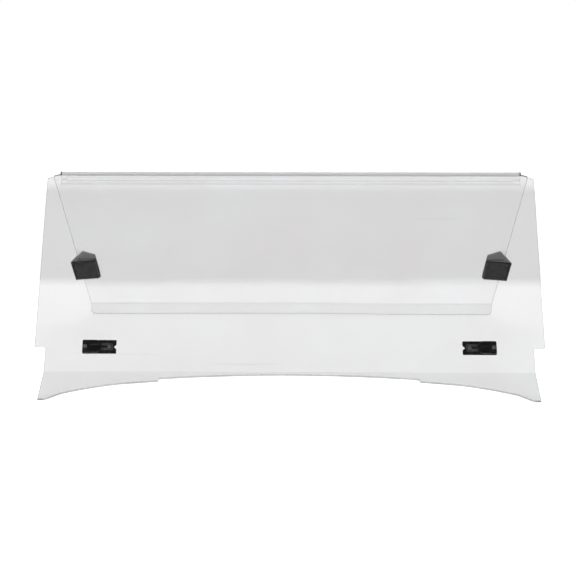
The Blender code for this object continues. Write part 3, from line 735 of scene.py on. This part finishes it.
def arch_depth(x):
    """Length of the skirt below the fold line at x."""
    reach = abs(x)
    depth = ARCH_MIDDLE + ARCH_FALL * (reach / ARCH_STEP_X) ** 2
    depth += FLARE_FALL * (max(0.0, reach - FLARE_FROM) / FLARE_RUN) ** 1.7
    depth += FOOT_FALL * (max(0.0, min(reach, NECK_HALF - TIP_FLAT) - FOOT_FROM) / FOOT_RUN) ** 1.2
    if reach > ARCH_STEP_X + 0.1 * MM:
        depth += ARCH_STEP
    return depth


def front_columns():
    """Distances across the front sheet: even, with a pair at the arch's step."""
    flat = NECK_HALF - TIP_FLAT
    inner = [ARCH_STEP_X * k / 20 for k in range(1, 21)]
    start = ARCH_STEP_X + MM
    outer = [start + (flat - start) * k / 32 for k in range(33)]
    half = inner + outer + [NECK_HALF]
    return [-x for x in reversed(half)] + [0.0] + half


def front_shield():
    fold = Folded(-1, FRONT_LEAN, FOLD_U, pi / 2 - SKIRT_DROP)
    tip = arch_depth(NECK_HALF - TIP_FLAT)

    def end_of(x):
        depth = tip if abs(x) > NECK_HALF - TIP_FLAT else arch_depth(x)
        return fold.end_u + depth - fold.tangent

    panel = [(NECK_HALF, NOTCH_U), (FRONT_HALF, NOTCH_U), (FRONT_HALF, TOP_U + CHAMFER_U),
             (FRONT_HALF - CHAMFER_X, TOP_U)]
    panel += [(-x, u) for x, u in reversed(panel)]
    bm = bmesh.new()
    folded_sheet(bm, fold, front_columns(), end_of, panel)
    sheet = new_object("shield_front", bm, ("clear_front", "edge_front", "bend_front", "skirt"))
    for side, _ in SIDES:
        holes = bmesh.new()
        for along in (SLOT_SCREW_X, END_SCREW_X):
            lathe(holes, ((SHEET_HOLE_R, -2 * THICK), (SHEET_HOLE_R, THICK)), (side * along, 0.0, 0.0))
        cut_away(sheet, holes, latch_frame(side))
    ground = bmesh.new()
    box(ground, (-FRONT_HALF, -0.6, -0.1), (FRONT_HALF, 0.0, 0.0))
    cut_away(sheet, ground)
    break_edges(sheet)
    fit(sheet, "front", "clear_sheet", "front_shield")


def rear_shield():
    fold = Folded(1, REAR_LEAN, LIP_U, 0.0)
    bottom = fold.spot(fold.end_u, 0.0)[1]
    steps = 8
    half = [REAR_HALF - LIP_CORNER * (1 - sin(pi / 2 * k / steps)) for k in range(steps + 1)]
    columns = [-x for x in reversed(half)] + half

    def end_of(x):
        inset = max(0.0, abs(x) - (REAR_HALF - LIP_CORNER))
        lift = LIP_CORNER - sqrt(max(0.0, LIP_CORNER ** 2 - inset ** 2))
        return fold.end_u + bottom - lift

    panel = [(REAR_HALF, TOP_U + CHAMFER_U), (REAR_HALF - CHAMFER_X, TOP_U)]
    panel += [(-x, u) for x, u in reversed(panel)]
    bm = bmesh.new()
    folded_sheet(bm, fold, columns, end_of, panel)
    sheet = new_object("shield_rear", bm, ("clear_rear", "edge_rear", "bend_rear", "lip"))
    break_edges(sheet)
    fit(sheet, "rear", "clear_sheet", "rear_shield")


# ---------------------------------------------------------------- hinge

def polar(radius, angle):
    """Point of the hinge's section at an angle from straight down, positive to the rear."""
    return radius * sin(angle), -radius * cos(angle)


def leaf_point(lean, side, u, off):
    return side * (u * sin(lean) + off * cos(lean)), -u * cos(lean) + off * sin(lean)


def leaf_face(lean, side, off, sink):
    """Points up a leaf's face from its end, with shallow glue grooves sunk into it."""
    points = []
    for place in GROOVE_PLACES:
        for du, share in GROOVE_SECTION:
            points.append(leaf_point(lean, side, LEAF_END - place + du * MM, off + sink * share))
    return points


def mark_barrel(bm):
    """Gives the faces round the axis the second material."""
    for face in bm.faces:
        middle = face.calc_center_median()
        face.material_index = 1 if middle.xy.length < BARREL_R * 1.05 else 0


def leaf_end(lean, side, first, last):
    """The two corners of a leaf's end, a little in from its faces."""
    return [leaf_point(lean, side, LEAF_END, off) for off in (first, last)]


def hinge_piece(name, outline, half, body, node):
    """Extrudes a section of the ridge hinge along the ridge."""
    bm = bmesh.new()
    prism(bm, outline, -half, half)
    mark_barrel(bm)
    piece = new_object(name, bm, ("leaf", "barrel"), hinge_frame())
    settle(piece)
    fit(piece, body, "clear_hinge", node)


def hinge_socket():
    """Open barrel with its leaf inside the front sheet; the mouth lets the bead's leaf swing."""
    stop_off = LEAF_OUT + GAP
    inner_end = REAR_LEAN + asin(stop_off / BORE_R)
    outer_end = REAR_LEAN + asin(stop_off / BARREL_R)
    full = 2 * pi
    leaf_from = -FRONT_LEAN - asin(LEAF_OUT / BARREL_R)
    leaf_to = -FRONT_LEAN - asin(LEAF_IN / BARREL_R)
    outline = [polar(BARREL_R, outer_end + (full + leaf_from - outer_end) * k / HINGE_STEPS)
               for k in range(HINGE_STEPS + 1)]
    outline += reversed(leaf_face(FRONT_LEAN, -1, LEAF_OUT, -GROOVE_SINK))
    outline += leaf_end(FRONT_LEAN, -1, LEAF_OUT - LEAF_END_BREAK, LEAF_IN + LEAF_END_BREAK)
    outline += leaf_face(FRONT_LEAN, -1, LEAF_IN, GROOVE_SINK)
    outline.append(polar(BARREL_R, leaf_to))
    outline.append(polar(BARREL_R, MOUTH_FRONT))
    outline += [polar(BORE_R, full + MOUTH_FRONT + (inner_end - full - MOUTH_FRONT) * k / HINGE_STEPS)
                for k in range(HINGE_STEPS + 1)]
    hinge_piece("ridge_socket", outline, HINGE_HALF, "front", "hinge_socket")


def hinge_bead():
    """Round bead with its leaf inside the rear sheet."""
    bead_from = REAR_LEAN + asin(LEAF_OUT / BEAD_R)
    bead_to = 2 * pi + REAR_LEAN + asin(LEAF_IN / BEAD_R)
    outline = [polar(BEAD_R, bead_from + (bead_to - bead_from) * k / HINGE_STEPS)
               for k in range(HINGE_STEPS + 1)]
    outline += reversed(leaf_face(REAR_LEAN, 1, LEAF_IN, GROOVE_SINK))
    outline += leaf_end(REAR_LEAN, 1, LEAF_IN + LEAF_END_BREAK, LEAF_OUT - LEAF_END_BREAK)
    outline += leaf_face(REAR_LEAN, 1, LEAF_OUT, -GROOVE_SINK)
    hinge_piece("ridge_bead", outline, BEAD_HALF, "rear", "hinge_bead")


def hinge_plug(side, tag):
    """End plug: a spigot in the barrel's bore and a domed, dimpled cap."""
    top = GAP + PLUG_THICK
    profile = [(BEAD_R - 0.4 * MM, -SPIGOT_LONG), (BEAD_R, 0.6 * MM - SPIGOT_LONG), (BEAD_R, GAP),
               (PLUG_R - 0.3 * MM, GAP), (PLUG_R, GAP + 0.3 * MM)]
    for k in range(6):
        turn = pi / 2 * k / 5
        profile.append((PLUG_R - PLUG_ROUND * (1 - cos(turn)), top - PLUG_ROUND * (1 - sin(turn))))
    profile += [(2.0 * MM, top), (1.6 * MM, top - 0.4 * MM), (0.4 * MM, top - 0.5 * MM)]
    bm = bmesh.new()
    lathe(bm, profile)
    place = Matrix.Translation((side * HINGE_HALF, AXIS_Y, AXIS_Z))
    plug = new_object("ridge_plug_" + tag, bm, ("plug",), place @ Matrix.Rotation(side * pi / 2, 4, "Y"))
    settle(plug)
    fit(plug, "front", "dark_plug", "hinge_plug_" + tag)


def hinge():
    hinge_socket()
    hinge_bead()
    for side, tag in SIDES:
        hinge_plug(side, tag)


# ---------------------------------------------------------------- fasteners

def cross_recess(top):
    """Cutter for a cross recess that narrows towards its floor."""
    corners = ((CROSS_HALF, CROSS_HALF), (CROSS_HALF, CROSS_LONG), (-CROSS_HALF, CROSS_LONG))
    outline = []
    for k in range(4):
        turn = Matrix.Rotation(pi / 2 * k, 2)
        outline += [tuple(turn @ Vector(corner)) for corner in corners]
    bm = bmesh.new()
    prism(bm, outline, top - CROSS_DEEP, top + MM)
    for vert in bm.verts:
        if vert.co.z < top:
            vert.co.x *= CROSS_TAPER
            vert.co.y *= CROSS_TAPER
    return bm


def make_screw(name, under_head, end, matrix):
    """Pan-head screw with a threaded shank and a cross recess."""
    top = under_head + HEAD_HIGH
    profile = [(SHANK_R - 0.9 * MM, end), (SHANK_R - 0.4 * MM, end + 0.5 * MM)]
    height = end + PITCH
    while height + PITCH < under_head - 0.5 * MM:
        profile += [(SHANK_R - THREAD_DEEP, height), (SHANK_R, height + 0.3 * PITCH),
                    (SHANK_R, height + 0.45 * PITCH)]
        height += PITCH
    profile += [(SHANK_R - THREAD_DEEP, height), (SHANK_R, under_head),
                (HEAD_R - HEAD_BREAK, under_head), (HEAD_R, under_head + HEAD_BREAK)]
    for k in range(9):
        turn = pi / 2 * k / 8
        profile.append((HEAD_R - CROWN_WIDE * (1 - cos(turn)), top - CROWN_HIGH * (1 - sin(turn))))
    bm = bmesh.new()
    lathe(bm, profile)
    screw = new_object(name, bm, ("screw",))
    cut_away(screw, cross_recess(top))
    screw.data.transform(matrix)
    return settle(screw)


def make_nut(name, low, high, matrix):
    """Hexagonal nut with turned-down corners."""
    flat = NUT_R * cos(pi / 6)
    steps = 48
    rings = []
    for height, limit in ((low, 1.03), (low + NUT_BREAK, 2.0), (high - NUT_BREAK, 2.0), (high, 1.03)):
        ring = []
        for k in range(steps):
            turn = 2 * pi * k / steps
            inside = (turn % (pi / 3)) - pi / 6
            reach = min(flat / cos(inside), flat * limit)
            ring.append((reach * cos(turn), reach * sin(turn), height))
        rings.append(ring)
    for height, radius in ((high, SHANK_R + NUT_MOUTH), (high - NUT_SINK, SHANK_R + GAP),
                           (low + NUT_SINK, SHANK_R + GAP), (low, SHANK_R + NUT_MOUTH)):
        rings.append([(radius * cos(2 * pi * k / steps), radius * sin(2 * pi * k / steps), height)
                      for k in range(steps)])
    bm = bmesh.new()
    rows = [[bm.verts.new(p) for p in ring] for ring in rings]
    for here, there in zip(rows, rows[1:] + rows[:1]):
        for i in range(steps):
            j = (i + 1) % steps
            bm.faces.new((here[i], here[j], there[j], there[i]))
    return settle(new_object(name, bm, ("steel",), matrix), radians(25.0))


# ---------------------------------------------------------------- brackets

def sloped_block(bm, low_plan, high_plan, side, low=BRACKET_BOTTOM, high=BRACKET_TOP):
    """Block between two level ends; plans give (x, distance behind the body's front plane)."""
    rows = []
    for height, plan in ((low, low_plan), (high, high_plan)):
        front = face_y(height, seat_off())
        rows.append([bm.verts.new((side * x, front + back, height)) for x, back in plan])
    lower, upper = rows
    bm.faces.new(lower[::-1])
    bm.faces.new(upper)
    for i in range(len(lower)):
        j = (i + 1) % len(lower)
        bm.faces.new((lower[i], lower[j], upper[j], upper[i]))


def cheek_panel(side):
    """Shallow panel sunk into the cheek's outer face, set in from its edges."""
    near = CHEEK_OUTER - PANEL_DEEP
    far = CHEEK_OUTER + MM
    front = PANEL_MARGIN - CHEEK_FORWARD
    plans = []
    for back in (CHEEK_BACK - 6 * PANEL_MARGIN, CHEEK_BACK - 3 * PANEL_MARGIN):
        plans.append(((near, front), (far, front), (far, back), (near, back)))
    bm = bmesh.new()
    sloped_block(bm, *plans, side, BRACKET_BOTTOM + PANEL_MARGIN, BRACKET_TOP - PANEL_MARGIN)
    return bm


def bracket_body(side, tag):
    plan = ((BRACKET_INNER, 0.0), (BRACKET_WAIST, BODY_DEEP), (CHEEK_OUTER, CHEEK_BACK),
            (CHEEK_OUTER, -CHEEK_FORWARD), (wedge_x(CHEEK_FORWARD), -CHEEK_FORWARD), (CHEEK_INNER, 0.0))
    bm = bmesh.new()
    sloped_block(bm, plan, plan, side)
    back = face_y(BRACKET_TOP, seat_off()) + CHEEK_BACK - MM
    geom = bm.verts[:] + bm.edges[:] + bm.faces[:]
    sliced = bmesh.ops.bisect_plane(bm, geom=geom, dist=1e-7, plane_co=(0, back, 0),
                                    plane_no=(0, 1, 0), clear_outer=True)
    rim = [e for e in sliced["geom_cut"] if isinstance(e, bmesh.types.BMEdge)]
    bmesh.ops.contextual_create(bm, geom=rim)
    body = new_object("edge_bracket_" + tag, bm, ("bracket",))
    cut_away(body, cheek_panel(side))
    sink = CHEEK_OUTER - CHEEK_SINK
    for place in cheek_frames(side):
        bore = bmesh.new()
        lathe(bore, ((HOLE_R, BRACKET_INNER), (HOLE_R, sink), (CHEEK_SINK_R, sink),
                     (CHEEK_SINK_R, CHEEK_OUTER + MM)))
        cut_away(body, bore, place)
    soften(body, 1.1 * MM, 3)
    fit(body, "rear", "black_plastic", "bracket_body_" + tag)


def clamp_plan(near, far):
    """Clamp block's outline: near and far are how far forward its inner and outer ends reach."""
    rest = (seat_off() - INNER_OFF + GAP) / cos(REAR_LEAN)
    inner = BRACKET_INNER + CLAMP_INSET
    return ((inner, -rest), (wedge_x(rest) - CLAMP_CLEAR, -rest),
            (wedge_x(far) - CLAMP_CLEAR, -far), (inner, -near))


def clamp_groove(side):
    """Groove across the clamp block's front face, just under its top."""
    bm = bmesh.new()
    plans = []
    heights = (BRACKET_TOP - GROOVE_FROM - GROOVE_WIDE, BRACKET_TOP - GROOVE_FROM)
    for height in heights:
        share = (height - BRACKET_BOTTOM) / (BRACKET_TOP - BRACKET_BOTTOM)
        near, far = (low + (high - low) * share for low, high in zip(CLAMP_LOW, CLAMP_HIGH))
        left = BRACKET_INNER - GROOVE_WIDE
        right = wedge_x(far) + GROOVE_WIDE
        slope = (far - near) / (wedge_x(far) - CLAMP_CLEAR - BRACKET_INNER - CLAMP_INSET)
        near -= slope * (GROOVE_WIDE + CLAMP_INSET)
        far += slope * (GROOVE_WIDE + CLAMP_CLEAR)
        plans.append(((left, GROOVE_DEEP - near), (right, GROOVE_DEEP - far),
                      (right, -GROOVE_DEEP - far), (left, -GROOVE_DEEP - near)))
    sloped_block(bm, *plans, side, *heights)
    return bm


def bracket_clamp(side, tag):
    bm = bmesh.new()
    sloped_block(bm, clamp_plan(*CLAMP_LOW), clamp_plan(*CLAMP_HIGH), side)
    clamp = new_object("edge_clamp_" + tag, bm, ("bracket",))
    for place in cheek_frames(side):
        bore = bmesh.new()
        lathe(bore, ((INSERT_R + GAP, INSERT_HOLE_FROM), (INSERT_R + GAP, CHEEK_OUTER)))
        cut_away(clamp, bore, place)
    cut_away(clamp, clamp_groove(side))
    soften(clamp, 0.6 * MM, 3)
    fit(clamp, "rear", "black_plastic", "bracket_clamp_" + tag)


def bracket_pad(side, tag):
    half_up = (BRACKET_TOP - BRACKET_BOTTOM) / 2 / cos(REAR_LEAN) - 3 * MM
    middle = bracket_middle()
    pad_mid = side * (BRACKET_INNER + REAR_HALF) / 2
    pad_half = (REAR_HALF - BRACKET_INNER) / 2 - 1.5 * MM
    corners = ((-pad_half, -half_up), (pad_half, -half_up), (pad_half, half_up), (-pad_half, half_up))
    outline = [(pad_mid + a, middle + b) for a, b in rounded(corners, 3.0 * MM)]
    bm = bmesh.new()
    prism(bm, outline, -(THICK + GAP + PAD_THICK), -(THICK + GAP))
    pad = new_object("edge_pad_" + tag, bm, ("rubber",), rear_frame())
    soften(pad, 0.25 * MM, 2)
    fit(pad, "rear", "rubber", "bracket_pad_" + tag)


def bracket(side, tag):
    bracket_body(side, tag)
    bracket_clamp(side, tag)
    bracket_pad(side, tag)
    for number, place in enumerate(cheek_frames(side), 1):
        name = f"{tag}{number}"
        screw = make_screw("edge_screw_" + name, CHEEK_OUTER - CHEEK_SINK + GAP, CHEEK_SCREW_END, place)
        fit(screw, "rear", "black_steel", "bracket_screw_" + name)


# ---------------------------------------------------------------- latches

def base_outline():
    half = LATCH_LONG / 2
    tall = LATCH_HIGH / 2
    corners = ((-half, -tall), (half, -tall), (half, tall), (-half, tall), (-half, NOTCH_HALF),
               (-half + NOTCH_DEEP, 0.0), (-half, -NOTCH_HALF))
    soft = 1.8 * MM
    return rounded(corners, [soft, soft, soft, soft, 0.6 * MM, 0.8 * MM, 0.6 * MM])


def cover_outline(inset=0.0):
    """Cover's outline, its inner end a half round, drawn in by inset."""
    half = COVER_HALF - inset
    steps = 28
    corner = 2.5 * MM
    points = []
    for turn_from, y in ((-pi / 2, -half + corner), (0.0, half - corner)):
        for k in range(5):
            turn = turn_from + pi / 2 * k / 4
            points.append((COVER_OUT - inset - corner + corner * cos(turn), y + corner * sin(turn)))
    for k in range(steps + 1):
        turn = pi / 2 + pi * k / steps
        points.append((COVER_CENTRE + half * cos(turn), half * sin(turn)))
    return points


def latch_bores(side):
    bm = bmesh.new()
    for along in (SLOT_SCREW_X, END_SCREW_X):
        lathe(bm, ((HOLE_R, -4 * THICK), (HOLE_R, 2 * COVER_TOP)), (side * along, 0.0, 0.0))
    return bm


def cross_block(side, start, end, half, low, high):
    """Cutter from start to end along a latch, reaching half each way across it."""
    bm = bmesh.new()
    prism(bm, mirrored(((start, -half), (end, -half), (end, half), (start, half)), side), low, high)
    return bm


def cover_dish(side):
    """Cutter for the shallow dish in the cover's top."""
    outline = []
    for x, y in cover_outline(DISH_INSET):
        point = (min(x, DISH_END), y)
        if not outline or (Vector(point) - Vector(outline[-1])).length > 0.05 * MM:
            outline.append(point)
    bm = bmesh.new()
    prism(bm, mirrored(outline, side), COVER_TOP - DISH_DEEP, COVER_TOP + MM)
    return bm


def latch_cover(side, tag):
    deck = 2 * GAP + BASE_THICK
    roof = deck + GAP + SLIDER_THICK + GAP
    bm = bmesh.new()
    prism(bm, mirrored(cover_outline(), side), deck, COVER_TOP)
    cover = new_object("latch_hood_" + tag, bm, ("latch",))
    cut_away(cover, cross_block(side, CHANNEL_FROM, CHANNEL_END, SLIDER_HALF + GAP, -MM, roof))
    cut_away(cover, cross_block(side, POCKET_FROM, POCKET_END, POCKET_HALF, roof - MM, roof + POCKET_DEEP))
    cut_away(cover, cover_dish(side))
    cut_away(cover, latch_bores(side))
    soften(cover, 0.5 * MM, 3, radians(40.0))
    cover.data.transform(latch_frame(side))
    fit(cover, "front", "black_plastic", "latch_cover_" + tag)


def grip_groove(side, x, top):
    """Cutter for one finger groove on each side of the tongue's slot."""
    ends = sorted((side * x, side * (x + GRIP_WIDE)))
    bm = bmesh.new()
    for y0, y1 in ((-GRIP_FAR, -GRIP_NEAR), (GRIP_NEAR, GRIP_FAR)):
        box(bm, (ends[0], y0, top - GRIP_DEEP), (ends[1], y1, COVER_TOP))
    return bm


def latch_tongue(side, tag):
    low = 3 * GAP + BASE_THICK
    outline = ((SLIDER_TIP, -SLIDER_HALF + SLIDER_CORNER), (SLIDER_TIP + SLIDER_CORNER, -SLIDER_HALF),
               (SLIDER_TAIL, -SLIDER_HALF), (SLIDER_TAIL, SLIDER_HALF),
               (SLIDER_TIP + SLIDER_CORNER, SLIDER_HALF), (SLIDER_TIP, SLIDER_HALF - SLIDER_CORNER))
    bm = bmesh.new()
    prism(bm, mirrored(outline, side), low, low + SLIDER_THICK)
    tongue = new_object("latch_tongue_" + tag, bm, ("tongue",))
    room = SHANK_R + GAP
    slot = bmesh.new()
    prism(slot, mirrored(slot_outline(SLOT_SCREW_X - room, SLOT_SCREW_X + TRAVEL + room, room), side),
          0.0, 2 * COVER_TOP)
    cut_away(tongue, slot)
    for k in range(3):
        x = SLIDER_TIP + (GRIP_FIRST + GRIP_STEP * k) * MM
        cut_away(tongue, grip_groove(side, x, low + SLIDER_THICK))
    soften(tongue, 0.25 * MM, 2, radians(40.0))
    tongue.data.transform(latch_frame(side))
    fit(tongue, "tongue_" + tag, "black_plastic", "latch_slider_" + tag)


def latch_base(side, tag):
    bm = bmesh.new()
    prism(bm, mirrored(base_outline(), side), GAP, GAP + BASE_THICK)
    base = new_object("latch_foot_" + tag, bm, ("latch",))
    cut_away(base, latch_bores(side))
    soften(base, 0.5 * MM, 3, radians(40.0))
    base.data.transform(latch_frame(side))
    fit(base, "front", "black_plastic", "latch_base_" + tag)


def latch_back(side, tag):
    """Plate behind the front sheet, under the nuts."""
    bm = bmesh.new()
    outline = slot_outline(SLOT_SCREW_X - 8 * MM, END_SCREW_X + 7 * MM, BACK_HALF)
    prism(bm, mirrored(outline, side), -(THICK + GAP + BACK_THICK), -(THICK + GAP))
    plate = new_object("latch_back_" + tag, bm, ("dark_steel",))
    cut_away(plate, latch_bores(side))
    soften(plate, 0.3 * MM, 2, radians(40.0))
    plate.data.transform(latch_frame(side))
    fit(plate, "front", "black_steel", "latch_backplate_" + tag)


def latch_bolts(side, tag):
    behind = -(THICK + 2 * GAP + BACK_THICK)
    slot_head = 4 * GAP + BASE_THICK + SLIDER_THICK
    places = ((SLOT_SCREW_X, slot_head), (END_SCREW_X, COVER_TOP + GAP))
    for number, (along, under) in enumerate(places, 1):
        name = f"{tag}{number}"
        spot = latch_frame(side) @ Matrix.Translation((side * along, 0.0, 0.0))
        screw = make_screw("latch_bolt_" + name, under, behind - NUT_THICK - 1.2 * MM, spot)
        fit(screw, "front", "black_steel", "latch_screw_" + name)
        nut = make_nut("latch_hexnut_" + name, behind - NUT_THICK, behind, spot)
        fit(nut, "front", "steel", "latch_nut_" + name)


def latch(side, tag):
    latch_base(side, tag)
    latch_cover(side, tag)
    latch_tongue(side, tag)
    latch_back(side, tag)
    latch_bolts(side, tag)


def dress_kept_nodes():
    """Gives the CAD nodes that stay their finished materials."""
    for name, look in (("bracket_insert_", "brass"), ("latch_detent_", "steel")):
        for node, obj in frame["nodes"].items():
            if node.startswith(name):
                obj.data.materials.clear()
                obj.data.materials.append(LOOKS[look])


# ---------------------------------------------------------------- studio

def floor():
    """Paper whose glow dips behind the object, so that the clear sheets read grey from the front."""
    bm = bmesh.new()
    bmesh.ops.create_grid(bm, x_segments=2, y_segments=2, size=FLOOR_HALF)
    mesh = bpy.data.meshes.new("studio_floor")
    bm.to_mesh(mesh)
    bm.free()
    made = bpy.data.objects.new("studio_floor", mesh)
    made.location.z = -FLOOR_BELOW
    bpy.context.scene.collection.objects.link(made)
    paint = Paint("floor_paper", Roughness=0.9)
    paint.set("Base Color", grey(0.30))
    paint.set("Emission Color", grey(1.0))
    away = paint.node("ShaderNodeSeparateXYZ", Vector=paint.place).outputs["Y"]
    near = paint.span(away, POOL_END, POOL_END + POOL_FADE, POOL_LEVEL, PAPER_LEVEL)
    beyond = paint.span(away, PAPER_END, PAPER_END + PAPER_FADE, PAPER_LEVEL, FAR_LEVEL)
    paint.set("Emission Strength", paint.math("MAXIMUM", near, beyond))
    mesh.materials.append(paint.material)


def soft_light(name, place, aim, size, power):
    lamp = bpy.data.lights.new(name, "AREA")
    lamp.shape = "RECTANGLE"
    lamp.size, lamp.size_y = size
    lamp.energy = power
    made = bpy.data.objects.new(name, lamp)
    made.location = place
    made.rotation_mode = "QUATERNION"
    made.rotation_quaternion = (Vector(aim) - Vector(place)).to_track_quat("-Z", "Y")
    bpy.context.scene.collection.objects.link(made)


def studio():
    """White surround with a dark patch high above the front, and soft lights."""
    world = bpy.data.worlds.new("studio")
    bpy.context.scene.world = world
    world.use_nodes = True
    tree = world.node_tree
    surround = tree.nodes["Background"]
    place = tree.nodes.new("ShaderNodeTexCoord")
    split = tree.nodes.new("ShaderNodeSeparateXYZ")
    forward = tree.nodes.new("ShaderNodeMath")
    forward.operation = "MULTIPLY"
    forward.inputs[1].default_value = -1.0
    height = tree.nodes.new("ShaderNodeMath")
    height.operation = "ARCTAN2"
    share = tree.nodes.new("ShaderNodeMath")
    share.operation = "DIVIDE"
    share.inputs[1].default_value = pi
    ramp = tree.nodes.new("ShaderNodeValToRGB")
    stops = ramp.color_ramp.elements
    stops[0].position = 0.0
    stops[0].color = grey(1.0)
    stops[1].position = 1.0
    stops[1].color = grey(1.0)
    for degrees, level in SURROUND:
        stop = stops.new(degrees / 180.0)
        stop.color = grey(level)
    links = tree.links
    links.new(place.outputs["Generated"], split.inputs[0])
    links.new(split.outputs["Y"], forward.inputs[0])
    links.new(split.outputs["Z"], height.inputs[0])
    links.new(forward.outputs[0], height.inputs[1])
    links.new(height.outputs[0], share.inputs[0])
    links.new(share.outputs[0], ramp.inputs["Fac"])
    links.new(ramp.outputs["Color"], surround.inputs["Color"])
    soft_light("top_light", (0.0, 2.2, 2.8), (0.0, 0.1, 0.0), (3.0, 1.6), 60.0)
    soft_light("side_light", (-2.8, -1.2, 1.8), (0.0, 0.0, 0.2), (1.6, 2.2), 6.0)


def camera():
    lens = bpy.data.cameras.new("view")
    lens.lens = CAMERA_LENS
    lens.sensor_width = 36.0
    lens.clip_end = 100.0
    made = bpy.data.objects.new("view", lens)
    made.location = CAMERA_PLACE
    made.rotation_euler = (radians(90.0 - CAMERA_DOWN), 0.0, radians(CAMERA_LEFT))
    bpy.context.scene.collection.objects.link(made)
    bpy.context.scene.camera = made
    bpy.context.scene.view_settings.view_transform = "Standard"


front_shield()
rear_shield()
hinge()
for side, tag in SIDES:
    bracket(side, tag)
    latch(side, tag)
dress_kept_nodes()
floor()
studio()
camera()
